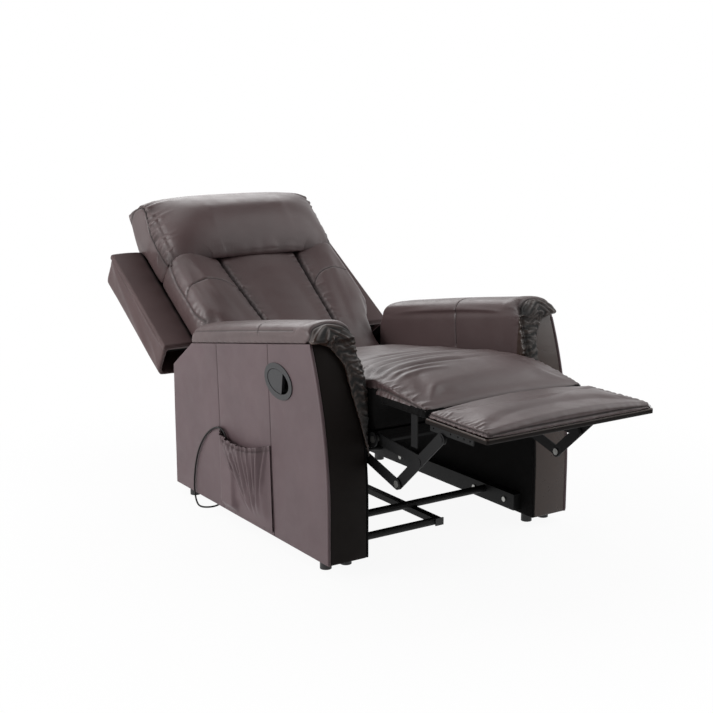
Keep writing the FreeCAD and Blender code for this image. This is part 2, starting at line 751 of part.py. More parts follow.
def tie_between(sketch, edge, alias):
    """Holds the length of a slot that starts with a given arc."""
    index = sketch.addConstraint(Sketcher.Constraint("DistanceX", edge, 3, edge + 2, 3, size(alias)))
    sketch.setExpression(f"Constraints[{index}]", cells(alias))


pair("base_plates", base_plate())


# Seat plates and slide

def plate_bars(layer, places, half_width, holes):
    """A plate of bars from place to place, drilled at its pivots."""
    bars = []
    for first, last in zip(places, places[1:]):
        body = new_body(f"-({plate_outer(layer)})")
        bar(body, first, last, half_width)
        bars.append(body)
    plate = fuse(bars) if len(bars) > 1 else bars[0]
    drills = [
        rod("X", (f"-({plate_outer(layer)}) - 1", *place), f"{radius} + pin_gap", "plate_thick + 2")
        for place, radius in holes
    ]
    return cut(plate, drills)


pair("seat_plates", plate_bars(
    SEAT_LAYER, [GUIDE_PIVOT, DRIVE_PIVOT, FRONT_STUD, REAR_STUD, HINGE], "plate_half_width",
    [(GUIDE_PIVOT, "stud_radius"), (DRIVE_PIVOT, "stud_radius"), (FRONT_STUD, "stud_radius"),
     (REAR_STUD, "stud_radius"), (HINGE, "hinge_pin_radius")]))

studs = []
rollers = []
for place in (FRONT_STUD, REAR_STUD):
    start = f"-({plate_outer(BASE_LAYER)})"
    studs.append(rod("X", (f"{start} + 0.4", *place), "stud_radius", f"plate_thick * 2 + layer_gap"))
    studs.append(rod("X", (f"-({plate_inner(SEAT_LAYER)}) + 0.4", *place), "head_radius", "head_thick"))
    rollers.append(cut(
        rod("X", (f"{start} + 0.3", *place), "roller_radius", "plate_thick - 0.5"),
        [rod("X", (f"{start} - 1", *place), "stud_radius + pin_gap", "plate_thick + 2")]))
pair("slide_studs", group([fuse(studs[:2]), fuse(studs[2:])]))
pair("slide_rollers", group(rollers))

keep("seat_torque_tube", block(
    (f"-({plate_inner(SEAT_LAYER)})", "-torque_tube_y - tube_radius", "torque_tube_z - tube_radius"),
    (f"2 * ({plate_inner(SEAT_LAYER)})", "2 * tube_radius", "2 * tube_radius")))
SPACER_WIDTH = f"{plate_inner(SEAT_LAYER)} - seat_rail_outer"
pair("seat_spacers", group([
    block(
        (f"-({plate_inner(SEAT_LAYER)})", "-spacer_front_y", "spacer_front_z"),
        (SPACER_WIDTH, "spacer_front_length", "spacer_height")),
    block(
        (f"-({plate_inner(SEAT_LAYER)})", "spacer_rear_y", "spacer_rear_z"),
        (SPACER_WIDTH, "spacer_rear_length", "spacer_height")),
]))

pair("drive_pins", pin(DRIVE_PIVOT, SEAT_LAYER, DRIVE_LAYER, "stud_radius"))
guide_spacer = rod(
    "X", (f"-({plate_inner(SEAT_LAYER)})", *GUIDE_PIVOT), "stud_radius + 3",
    f"{plate_inner(SEAT_LAYER)} - ({plate_outer(GUIDE_LAYER)}) - 0.3")
pair("guide_pins", fuse([pin(GUIDE_PIVOT, SEAT_LAYER, GUIDE_LAYER, "stud_radius"), guide_spacer]))
pair("hinge_bolts", pin(HINGE, SEAT_LAYER, DRIVE_LAYER, "hinge_pin_radius"))


# Seat frame, springs and cushion, drawn level in the seat's sloping frame

SEAT_TOP = "-cushion_gap"
RAIL_Z = "-cushion_gap - seat_rail_depth"
side_rails = [
    block(("-seat_rail_outer", "0", RAIL_Z), ("seat_rail_width", "seat_length", "seat_rail_depth")),
    block(
        ("seat_rail_outer - seat_rail_width", "0", RAIL_Z),
        ("seat_rail_width", "seat_length", "seat_rail_depth")),
]
cross_rails = [
    block(
        ("-seat_rail_outer", place, RAIL_Z),
        ("2 * seat_rail_outer", "seat_rail_width", "seat_rail_depth"))
    for place in ("0", "seat_length - seat_rail_width")
]
keep("seat_frame", on_seat(fuse(side_rails + cross_rails)))
wires = [
    rod(
        "Y", (f"{share} * seat_rail_outer", "seat_rail_width", "-cushion_gap - wire_radius"),
        "wire_radius", "seat_length - 2 * seat_rail_width")
    for share in ("-0.72", "-0.48", "-0.24", "0", "0.24", "0.48", "0.72")
]
keep("seat_springs", on_seat(group(wires)))
motors = [
    rod(
        "Z", (place, "seat_length * 0.55", "-cushion_gap - wire_radius * 2 - motor_height"),
        "motor_radius", "motor_height")
    for place in ("-seat_rail_outer * 0.36", "seat_rail_outer * 0.36")
]
keep("seat_motors", on_seat(group(motors)))


def crowned(start, end, low, edge, crown, half, lean=0.0, rise=0.0):
    """A cushion along Y with a crowned top, swelling sides and ends that draw in.

    Lean is how far the front face comes forward for each unit of height, and rise is how
    much higher the rear end is than the front.
    """
    sections = []
    stops = ((start, 9, lean), (start + 16, 0, lean), (end - 16, -rise, 0), (end, 9 - rise, 0))
    for place, drop, slope in stops:
        top = edge - drop
        points = [
            Vector(-half + SIDE_SWELL, place, low),
            Vector(-half + SIDE_SWELL, place - slope * top, low + top),
            Vector(half - SIDE_SWELL, place - slope * top, low + top),
            Vector(half - SIDE_SWELL, place, low),
        ]
        normal = Vector(0, 1, slope)
        normal.normalize()
        sections.append(outline(points, [-SIDE_SWELL, -crown, -SIDE_SWELL, 0], normal))
    return shaped(Part.makeLoft(sections, True, True))


def bead(place, height, radius, reach):
    """Round bead along a crease, which the lower piece turns on."""
    return rod("X", (f"-({reach})", place, height), radius, f"2 * ({reach})")


SIDE_SWELL = size("side_swell")
seat_body = crowned(
    0, size("seat_length"), 0, size("seat_edge_height"), size("seat_crown"), size("seat_half_width"),
    math.tan(math.radians(size("seat_angle"))))
FLAP_BEAD = ("-flap_hinge_y", "flap_hinge_z")
FOOT_BEAD = ("-foot_hinge_y", "flap_hinge_z")
BEAD_ROOM = "bead_radius + bead_gap"
keep("seat_cushion", cut(on_seat(seat_body), [bead(*FLAP_BEAD, BEAD_ROOM, "seat_rail_outer + 2")]))


# Leg pad and footrest

GAP = size("crease_gap")
leg_body = crowned(
    GAP - size("foot_hinge_y"), -size("flap_hinge_y") - GAP, size("flap_hinge_z"),
    size("flap_edge_height"), size("flap_crown"), size("foot_half_width"), rise=size("flap_rise"))
keep("leg_pad", cut(
    fuse([leg_body, bead(*FLAP_BEAD, "bead_radius", "seat_rail_outer")]),
    [bead(*FOOT_BEAD, BEAD_ROOM, "seat_rail_outer + 2")]))
leg_bracket = block(
    ("-bracket_tab_x", "-tab_front_y", "tab_bottom"),
    ("plate_thick", "tab_length", "flap_hinge_z - tab_bottom"))
pair("leg_pad_brackets", leg_bracket)

BOARD_Z = "flap_hinge_z - foot_board_thick / 2"
keep("footrest_board", fuse([
    block(
        ("-foot_half_width", "-foot_front_y", BOARD_Z),
        ("2 * foot_half_width", "foot_front_y - foot_hinge_y - crease_gap - 1", "foot_board_thick")),
    bead(*FOOT_BEAD, "bead_radius", "seat_rail_outer")]))
keep("footrest_pad", crowned(
    -size("foot_front_y") - 2, -size("foot_hinge_y") - GAP,
    size("flap_hinge_z") + size("foot_board_thick") / 2 + size("cushion_gap"),
    size("foot_pad_height"), size("foot_pad_crown"), size("foot_half_width")))


def footrest_bracket():
    """Angle bracket with its pivot plate under the footrest board."""
    outer = plate_outer(GUIDE_LAYER)
    top = BOARD_Z
    plate = block(
        (f"-({outer})", "-bracket_pivot_y - bracket_reach", "bracket_pivot_z + link_half_width - 4"),
        ("plate_thick", "bracket_reach + 45", f"{top} - bracket_pivot_z - link_half_width + 4"))
    ear = rod("X", (f"-({outer})", *BRACKET_PIVOT), "link_half_width", "plate_thick")
    flange = block(
        (f"-({outer})", "-bracket_pivot_y - bracket_reach", f"{top} - plate_thick"),
        ("28", "bracket_reach + 45", "plate_thick"))
    holes = [
        rod("X", (f"-({outer}) - 1", f"-bracket_pivot_y + {step}", f"{top} - 6.5"), "2.6", "plate_thick + 2")
        for step in ("-bracket_reach + 12", "-bracket_reach + 34", "-bracket_reach + 56", "-32", "32")
    ]
    stub = rod("X", (f"-({plate_inner(GUIDE_LAYER)})", *BRACKET_PIVOT), "head_radius - 1", "head_thick")
    return cut(fuse([plate, ear, flange, stub]), holes)


pair("footrest_brackets", footrest_bracket())
keep("footrest_motor", fuse([
    rod("Z", ("foot_motor_x", "-foot_motor_y", f"{BOARD_Z} - motor_height"), "motor_radius", "motor_height"),
    block(
        ("foot_motor_x - motor_radius - 12", "-foot_motor_y - 14", f"{BOARD_Z} - 3"),
        ("2 * motor_radius + 24", "28", "3")),
]))


def link(layer, first, last, holes, stubs):
    """A footrest link with its drilled pivots and riveted stubs."""
    body = new_body(f"-({plate_outer(layer)})")
    bar(body, first, last, "link_half_width")
    if not holes:
        plate = body
    else:
        plate = cut(body, [
            rod("X", (f"-({plate_outer(layer)}) - 1", *place), "stud_radius + pin_gap", "plate_thick + 2")
            for place in holes
        ])
    return fuse([plate] + stubs) if stubs else plate


def stub_out(layer, place):
    """A rivet head on the outer face of a link."""
    return rod("X", (f"-({plate_outer(layer)}) - head_thick", *place), "head_radius", "head_thick")


def stub_in(layer, place):
    """A rivet head on the inner face of a link."""
    return rod("X", (f"-({plate_inner(layer)})", *place), "head_radius", "head_thick")


pair("drive_links", link(DRIVE_LAYER, DRIVE_PIVOT, KNEE, [DRIVE_PIVOT, KNEE], []))
pair("knee_pins", pin(KNEE, DRIVE_LAYER, LIFT_LAYER, "stud_radius"))
lift_stubs = [
    stub_out(LIFT_LAYER, BRACKET_PIVOT), stub_in(LIFT_LAYER, BRACKET_PIVOT), stub_out(LIFT_LAYER, GUIDE_END)]
pair("lift_links", link(LIFT_LAYER, KNEE, BRACKET_PIVOT, [KNEE], lift_stubs))
guide_stubs = [stub_in(GUIDE_LAYER, GUIDE_END)]
pair("guide_links", link(GUIDE_LAYER, GUIDE_PIVOT, GUIDE_END, [GUIDE_PIVOT], guide_stubs))


# Back frame, drawn from the recline hinge with Y along the back and Z out of its front

POST_Z = "-post_front - post_depth"
POST_OUTER = plate_inner(DRIVE_LAYER)
POST_END = "shell_top - shell_wall - 8"
posts = [
    block((corner, "-post_start", POST_Z), ("post_width", f"post_start + {POST_END}", "post_depth"))
    for corner in (f"-({POST_OUTER})", f"{POST_OUTER} - post_width")
]
low_rail = block(
    (f"-({POST_OUTER})", "-post_start", POST_Z), (f"2 * ({POST_OUTER})", "post_width", "post_depth"))
wide_rails = [
    block(
        ("-shell_half_width + shell_wall", place, f"{POST_Z} - post_depth"),
        ("2 * (shell_half_width - shell_wall)", "post_width", "post_depth"))
    for place in ("shell_bottom + 30", f"{POST_END} - post_width")
]
keep("back_frame", on_back(fuse(posts + [low_rail] + wide_rails)))

bracket_arm = block(
    (f"-({plate_outer(DRIVE_LAYER)})", "-plate_half_width", POST_Z),
    ("plate_thick", "plate_half_width * 2 + 30", f"-({POST_Z})"))
bracket_eye = rod("X", (f"-({plate_outer(DRIVE_LAYER)})", "0", "0"), "plate_half_width", "plate_thick")
bracket_bore = rod(
    "X", (f"-({plate_outer(DRIVE_LAYER)}) - 1", "0", "0"), "hinge_pin_radius + pin_gap", "plate_thick + 2")
back_bracket = cut(fuse([bracket_arm, bracket_eye]), [bracket_bore])
keep("back_brackets", on_back(group([back_bracket, mirrored(back_bracket)])))

STRAPS = [f"strap_first + {number} * strap_pitch" for number in range(6)]
straps = [
    block((f"-({POST_OUTER})", step, "-post_front"), (f"2 * ({POST_OUTER})", "strap_width", "strap_thick"))
    for step in STRAPS
]
keep("back_straps", on_back(group(straps)))
back_motors = [
    rod(
        "Z", (place, f"{step} + strap_width / 2", "-post_front - motor_height"),
        "motor_radius", "motor_height")
    for place in ("-back_motor_x", "back_motor_x")
    for step in (STRAPS[1], STRAPS[3])
]
keep("back_motors", on_back(group(back_motors)))
keep("heat_pad", on_back(block(
    ("-back_motor_x * 0.6", "220", "-post_front - strap_thick"),
    ("back_motor_x * 1.2", "strap_width", "strap_thick"))))


# Back shell

def rounded_tray(half, low, high, radius, u_from, u_to):
    """A prism along the back with rounded corners at its rear."""
    points = [
        Vector(-half, u_from, high),
        Vector(-half, u_from, low + radius),
        Vector(-half + radius, u_from, low),
        Vector(half - radius, u_from, low),
        Vector(half, u_from, low + radius),
        Vector(half, u_from, high),
    ]
    rise = radius * (1 - math.sqrt(0.5))
    wire = outline(points, [0, -rise, 0, -rise, 0, 0], Vector(0, -1, 0))
    return Part.Face(wire).extrude(Vector(0, u_to - u_from, 0))


def back_shell():
    """Padded shell, open at its lower end and in front inside its rim."""
    half = size("shell_half_width")
    wall = size("shell_wall")
    front = -size("shell_front")
    rear = front - size("shell_depth")
    low, high = size("shell_bottom"), size("shell_top")
    shell = rounded_tray(half, rear, front, 34, low, high)
    shell = shell.cut(rounded_tray(half - wall, rear + wall, front - wall, 20, low - 10, high - wall))
    mouth = Part.makeBox(
        2 * size("shell_rim_inner"), high - wall - low + 10, wall + 20,
        Vector(-size("shell_rim_inner"), low - 10, front - wall - 10))
    return shell.cut(mouth)


keep("back_shell", on_back(shaped(back_shell())))


# Back cushion and headrest

BACK_FLOOR = -size("post_front") + size("strap_thick") + size("cushion_gap")


def back_section(place, half, seam, channel, floor, bulge):
    """Cross-section of the back cushion at one place along the back."""
    points = [
        Vector(-half, place, BACK_FLOOR),
        Vector(-half, place, seam),
        Vector(-channel, place, floor),
        Vector(channel, place, floor),
        Vector(half, place, seam),
        Vector(half, place, BACK_FLOOR),
    ]
    return outline(points, [-3, -bulge, -bulge, -bulge, -3, 0], ALONG_Y)


def back_cushion():
    """Three-panelled back cushion with a round lower end."""
    low, high = size("back_low_half"), size("back_high_half")
    seam = size("back_seam_height")
    floor = size("channel_height")
    bulge = size("panel_bulge")
    near, far = size("channel_low"), size("channel_high")
    start, end = size("back_narrow_end"), size("back_wide_start")
    top = size("back_top")

    def channel(place):
        return near + (far - near) * max(0.0, place) / top

    stations = [
        (-size("back_end_radius"), low - 3, seam * 0.6, channel(0), floor * 0.8, bulge * 0.8),
        (60, low - 3, seam * 0.8, channel(60), floor * 0.9, bulge),
        (start, low - 3, seam, channel(start), floor, bulge),
        (end, high - 3, seam, channel(end), floor, bulge),
        (end + 80, high - 3, seam, channel(end + 80), floor, bulge),
        (top, high - 3, seam, channel(top), floor, bulge),
    ]
    body = Part.makeLoft([back_section(*station) for station in stations], True, True)
    radius = size("back_end_radius")
    reach = size("arm_outer")
    end_room = Part.makeCylinder(radius, 2 * reach, Vector(-reach, 0, 0), ALONG_X)
    rest = Part.makeBox(2 * reach, top + radius, 2 * reach, Vector(-reach, 0, -reach))
    return body.common(end_room.fuse(rest))


keep("back_cushion", on_back(shaped(back_cushion())))


def head_section(x, share):
    """Side outline of the headrest roll, drawn in towards its rear edge at the ends."""
    start, end = size("head_start"), size("head_end")
    height = size("head_height")
    under = size("back_top") + size("cushion_gap")
    rim = -size("shell_front") + size("cushion_gap")
    over = size("shell_top") + size("cushion_gap")
    lip = size("channel_height") + size("panel_bulge") + 2
    centre = Vector(x, end - 60, 0)
    points = [
        Vector(x, under, rim - 12),
        Vector(x, under, lip),
        Vector(x, start, lip + 2),
        Vector(x, (start + end) / 2 - 12, height),
        Vector(x, end, 35),
        Vector(x, over + 14, rim - 20),
    ]
    points = [centre + (point - centre) * share for point in points]
    return outline(points, [0, 0, 20 * share, 26 * share, 14 * share, 0], ALONG_X)


def headrest():
    """Rolled headrest that hangs over the top of the shell."""
    half = size("head_half_width")
    stations = [
        (-half, 0.5), (-half + 12, 0.66), (-half + 50, 0.82), (-half * 0.45, 1),
        (half * 0.45, 1), (half - 50, 0.82), (half - 12, 0.66), (half, 0.5),
    ]
    roll = Part.makeLoft([head_section(*station) for station in stations], True, True)
    gap = size("cushion_gap")
    front = -size("shell_front")
    rear = front - size("shell_depth")
    shell_room = rounded_tray(
        size("shell_half_width"), rear - 50, front + gap, 34, size("shell_bottom"), size("shell_top") + gap)
    return roll.cut(shell_room)


keep("headrest_roll", on_back(shaped(headrest())))


# Release handle

def release_bezel():
    """Oval bezel with its cup and the paddle's pin."""
    rim = size("cup_rim")
    wall = size("cup_wall")
    deep = size("cup_depth")
    stand = size("bezel_stand")
    flange = oval(LONG_HALF, SHORT_HALF, -OUTER - stand, stand)
    cup = oval(LONG_HALF - rim + wall, SHORT_HALF - rim + wall, -OUTER - stand + 1, deep + stand)
    bore = oval(LONG_HALF - rim, SHORT_HALF - rim, -OUTER - stand - 1, deep + stand)
    hinge_span = 2 * (SHORT_HALF - rim) * math.sqrt(1 - (PADDLE_HINGE / (LONG_HALF - rim)) ** 2)
    hinge = Part.makeCylinder(
        1.2, hinge_span + 1, Vector(-OUTER, PADDLE_HINGE, -hinge_span / 2 - 0.5), ALONG_Z)
    return fuse([cut(fuse([flange, cup]), [bore]), shaped(hinge)])


PADDLE_HINGE = LONG_HALF - size("cup_rim") - 9


def release_paddle():
    """Paddle over the upper rear part of the cup, with a finger lip at its free end."""
    rim = size("cup_rim")
    gap = size("paddle_gap")
    thick = size("paddle_thick")
    face = oval(LONG_HALF - rim - gap, SHORT_HALF - rim - gap, -OUTER - thick / 2, thick)
    free_end = -(LONG_HALF - rim) + size("finger_length")
    keep_side = shaped(Part.makeBox(100, 200, 200, Vector(-OUTER - 50, free_end, -100)))
    plate = common(face, keep_side)
    lip_half = (SHORT_HALF - rim) * 0.8
    lip = shaped(Part.makeBox(8, 3, 2 * lip_half, Vector(-OUTER, free_end, -lip_half)))
    bore = shaped(Part.makeCylinder(1.2 + size("pin_gap"), 200, Vector(-OUTER, PADDLE_HINGE, -100), ALONG_Z))
    return cut(fuse([plate, lip]), [bore])


keep("release_bezel", on_handle(release_bezel()))
keep("release_paddle", on_handle(release_paddle()))


# Pocket, handset and its cord

def pocket_wire(level, bulge, inset):
    """Cross-section of the pocket at one height."""
    front = -size("pocket_front_y") + inset
    rear = size("pocket_rear_y") - inset
    points = [
        Vector(-OUTER, front, level),
        Vector(-OUTER - bulge, front + 34, level),
        Vector(-OUTER - bulge, rear - 34, level),
        Vector(-OUTER, rear, level),
    ]
    rise = min(bulge * 0.25, 5)
    return outline(points, [rise, 0.6, rise, 0], ALONG_Z)


def pocket():
    """Leather pocket sewn to the arm's outer panel along its sides and foot."""
    sheet = size("pocket_sheet")
    bulge = size("pocket_bulge")
    low, high = size("pocket_bottom"), size("pocket_top")
    shelf = low + size("pocket_shelf")
    outer = Part.makeLoft([
        pocket_wire(low, 5, 0), pocket_wire(shelf, bulge - 2, 0), pocket_wire(high, bulge, 0)], True, True)
    inner = Part.makeLoft([
        pocket_wire(low + sheet, 5 - sheet, sheet * 3),
        pocket_wire(shelf, bulge - 2 - sheet, sheet * 3),
        pocket_wire(high + 1, bulge - sheet, sheet * 3)], True, True)
    return outer.cut(inner)


keep("side_pocket", shaped(pocket()))

HANDSET_Z = "pocket_bottom + pocket_shelf + cushion_gap"
HANDSET_FACE = "arm_outer + cushion_gap + handset_thick"
handset_body = block(
    (f"-({HANDSET_FACE})", "handset_y - handset_width / 2", HANDSET_Z),
    ("handset_thick", "handset_width", "handset_length"))
BUTTONS = [f"{HANDSET_Z} + handset_length * 0.4 + {step} * button_pitch" for step in range(4)]
wells = [
    rod(
        "X", (f"-({HANDSET_FACE}) - 1", "handset_y", level),
        "button_radius + button_gap", "button_height + 1.6")
    for level in BUTTONS
]
keep("massage_handset", cut(handset_body, wells))
for number, level in enumerate(BUTTONS, start=1):
    keep(f"handset_button_{number}", rod(
        "X", (f"-({HANDSET_FACE}) - button_stand", "handset_y", level), "button_radius", "button_height"))


def cord_points():
    """Route of the handset cord: handset, pocket's mouth, floor, control box."""
    x = -OUTER - 5
    top = size("pocket_bottom") + size("pocket_shelf") + size("cushion_gap") + size("handset_length")
    gland_x = -size("box_length") - 6
    gland_y = size("rear_tube_y") + size("gland_offset")
    gland_z = size("box_foot") + size("box_height") / 2
    return [
        Vector(x - 4.5, size("handset_y"), top),
        Vector(x - 4.5, size("handset_y") + 8, top + 38),
        Vector(x - 4, 142, size("pocket_top") + 11),
        Vector(x, 208, 244),
        Vector(x, 256, 206),
        Vector(x, 289, 162),
        Vector(x, 308, 118),
        Vector(x, 319, 72),
        Vector(x - 1, 318, 30),
        Vector(x - 8, 290, 3.5),
        Vector(x - 11, 254, 3),
        Vector(x + 22, 238, 3),
        Vector(x + 62, 262, 3),
        Vector(x + 118, 276, 3),
        Vector(x + 160, 310, 3.5),
        Vector(x + 183, 335, 30),
        Vector(x + 195, 336, gland_z - 23),
        Vector(gland_x - 25, gland_y + 1, gland_z),
        Vector(gland_x, gland_y, gland_z),
    ]


def cord_route(points):
    """Straight runs joined by tangent arcs."""
    runs = [end - start for start, end in zip(points, points[1:])]
    edges = []
    last = points[0]
    for index in range(1, len(points) - 1):
        before, after = runs[index - 1], runs[index]
        turn = before.getAngle(after)
        reach = 0.45 * min(before.Length, after.Length)
        corner = points[index]
        ahead = Vector(after).normalize()
        behind = Vector(before).normalize()
        start = corner - behind * reach
        end = corner + ahead * reach
        radius = reach / math.tan(turn / 2)
        away = (ahead - behind).normalize()
        middle = corner + away * (radius / math.cos(turn / 2) - radius)
        CORD_RADII.append(radius)
        edges.append(Part.LineSegment(last, start).toShape())
        edges.append(Part.Arc(start, middle, end).toShape())
        last = end
    edges.append(Part.LineSegment(last, points[-1]).toShape())
    return Part.Wire(edges)


CORD_RADII = []


def handset_cord():
    """Round limp cord along its route."""
    points = cord_points()
    route = cord_route(points)
    ring = Part.Circle(points[0], points[1] - points[0], size("cord_radius")).toShape()
    tube = route.makePipeShell([Part.Wire([ring])], True, True)
    share = tube.Volume / (route.Length * math.pi * size("cord_radius") ** 2)
    print(f"cord length {route.Length:.1f}, least bend {min(CORD_RADII):.1f}, volume share {share:.4f}")
    return tube


keep("handset_cord", shaped(handset_cord()))

keep("control_box", block(
    ("-box_length", "rear_tube_y - box_width / 2", "box_foot"), ("box_length", "box_width", "box_height")))
keep("cord_gland", rod(
    "X", ("-box_length - 6", "rear_tube_y + gland_offset", "box_foot + box_height / 2"),
    "cord_radius + 2.5", "6"))
keep("power_inlet", block(
    ("-box_length * 0.7", "rear_tube_y + box_width / 2", "box_foot + box_height / 2 - inlet_height / 2"),
    ("inlet_length", "inlet_depth", "inlet_height")))


# Checks and files

DOC.recompute()
for item in DOC.Objects:
    if "Invalid" in item.State or "Error" in item.State:
        raise ValueError(f"{item.Name} {item.Label} failed: {item.State}")
bounds = FreeCAD.BoundBox()
for item in PIECES:
    if item.Shape.isNull() or not item.Shape.isValid():
        raise ValueError(f"{item.Label} has no valid shape")
    if item.Label != "handset_cord":
        bounds.add(item.Shape.BoundBox)
shift = Vector(0, -bounds.Center.y, 0)
print(f"box {bounds}, all pieces move {shift.y:.3f} along Y")
os.makedirs("parts", exist_ok=True)
for item in PIECES:
    shape = item.Shape.copy()
    shape.translate(shift)
    print(f"{item.Label:26s} {shape.Volume / 1000:10.1f} cm3 {len(shape.Solids)} solids")
    shape.exportStep(f"parts/{item.Label}.step")
print(len(PIECES), "pieces")
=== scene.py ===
import logging
import math
from contextlib import contextmanager
from dataclasses import dataclass
from enum import Enum
from typing import Any, Callable, Iterator, Optional, Sequence

import bmesh
import bpy
import numpy as np
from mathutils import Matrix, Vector
from mathutils.bvhtree import BVHTree


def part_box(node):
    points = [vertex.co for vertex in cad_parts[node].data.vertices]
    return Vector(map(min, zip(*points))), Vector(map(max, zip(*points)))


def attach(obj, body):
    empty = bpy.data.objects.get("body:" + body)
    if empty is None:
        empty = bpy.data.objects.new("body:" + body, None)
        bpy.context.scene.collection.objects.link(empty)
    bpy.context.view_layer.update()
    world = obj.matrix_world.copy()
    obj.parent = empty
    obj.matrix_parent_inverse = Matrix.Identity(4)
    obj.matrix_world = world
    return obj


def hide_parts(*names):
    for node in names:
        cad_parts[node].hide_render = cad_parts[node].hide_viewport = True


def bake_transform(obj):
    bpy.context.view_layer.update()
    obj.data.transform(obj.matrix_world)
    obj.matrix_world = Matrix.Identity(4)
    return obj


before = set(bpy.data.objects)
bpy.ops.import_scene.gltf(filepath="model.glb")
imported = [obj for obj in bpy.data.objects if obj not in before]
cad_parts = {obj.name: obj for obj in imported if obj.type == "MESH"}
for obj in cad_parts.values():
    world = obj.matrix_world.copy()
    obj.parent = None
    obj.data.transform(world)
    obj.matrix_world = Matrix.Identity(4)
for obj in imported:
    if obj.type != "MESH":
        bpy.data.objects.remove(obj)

# A manual massage recliner in soft brown leather, fully reclined with its footrest out.
# The sitter looks along -Y and the sitter's right arm is at -X. Lengths are in metres.

LOG = logging.getLogger("recliner")
MM = 0.001
ARM_REAR = 0.445
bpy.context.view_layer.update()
SHIFT_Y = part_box("arm_outer_panel_right")[1].y - ARM_REAR

Point = Sequence[float]
Array = np.ndarray


class Side(Enum):
    """The two sides of the chair, as the sign of X."""

    RIGHT = -1
    LEFT = 1


class Grain(Enum):
    """How a leather's surface is marked."""

    SMOOTH = 0.35
    PEBBLED = 0.8


@dataclass(frozen=True)
class Slope:
    """A sloping frame of the chair: along it, and out of its upper face."""

    y: float
    z: float
    degrees: float

    def point(self, x: float, along: float, out: float) -> Vector:
        """A point in the model's frame.

        Args:
            x: Distance from the middle of the chair.
            along: Distance along the slope.
            out: Distance out of its upper face.

        Returns:
            The same point in the model's frame.
        """
        turn = math.radians(self.degrees)
        y = self.y + along * math.cos(turn) - out * math.sin(turn)
        z = self.z + along * math.sin(turn) + out * math.cos(turn)
        return Vector((x, y + SHIFT_Y, z))

    def points(self, rows: Sequence[Point], side: int = 1) -> list[Vector]:
        """Points given as x, along and out in millimetres, mirrored where the side is -1."""
        return [self.point(side * x * MM, along * MM, out * MM) for x, along, out in rows]

    def local(self, places: Array) -> Array:
        """Points of the model's frame as x, along and out.

        Args:
            places: Rows of points.

        Returns:
            Rows of the same points in this frame.
        """
        turn = math.radians(self.degrees)
        y = places[:, 1] - SHIFT_Y - self.y
        z = places[:, 2] - self.z
        along = y * math.cos(turn) + z * math.sin(turn)
        out = -y * math.sin(turn) + z * math.cos(turn)
        return np.stack([places[:, 0], along, out], 1)


LEVEL = Slope(0, 0, 0)
BACK = Slope(0.287, 0.357, 32.5)
SEAT = Slope(-0.3997, 0.353, -7.3)


# Finishes

def linear(code: str) -> tuple[float, float, float, float]:
    """An sRGB hex colour as linear values.

    Args:
        code: Six hex digits after a hash sign.

    Returns:
        Red, green, blue and alpha.
    """
    parts = [int(code[index:index + 2], 16) / 255 for index in (1, 3, 5)]
    made = [part / 12.92 if part <= 0.04045 else ((part + 0.055) / 1.055) ** 2.4 for part in parts]
    return made[0], made[1], made[2], 1.0


def add(tree: Any, kind: str, settings: dict[Any, Any], links: Optional[dict[Any, Any]] = None) -> Any:
    """Adds a node with its settings and links.

    Args:
        tree: The node tree.
        kind: The node's type.
        settings: Values of the node's properties, or of its inputs where it has no such property.
        links: The output that feeds each named input.

    Returns:
        The node.
    """
    node = tree.nodes.new(kind)
    for key, value in settings.items():
        if isinstance(key, str) and hasattr(node, key):
            setattr(node, key, value)
        else:
            node.inputs[key].default_value = value
    for key, output in (links or {}).items():
        tree.links.new(output, node.inputs[key])
    return node


def new_material(name: str) -> tuple[Any, Any, Any, Any]:
    """An empty material.

    Args:
        name: The material's name.

    Returns:
        The material, its tree, its surface input and the Object coordinates.
    """
    material = bpy.data.materials.new(name)
    material.use_nodes = True
    tree = material.node_tree
    tree.nodes.clear()
    surface = add(tree, "ShaderNodeOutputMaterial", {}).inputs["Surface"]
    return material, tree, surface, add(tree, "ShaderNodeTexCoord", {}).outputs["Object"]


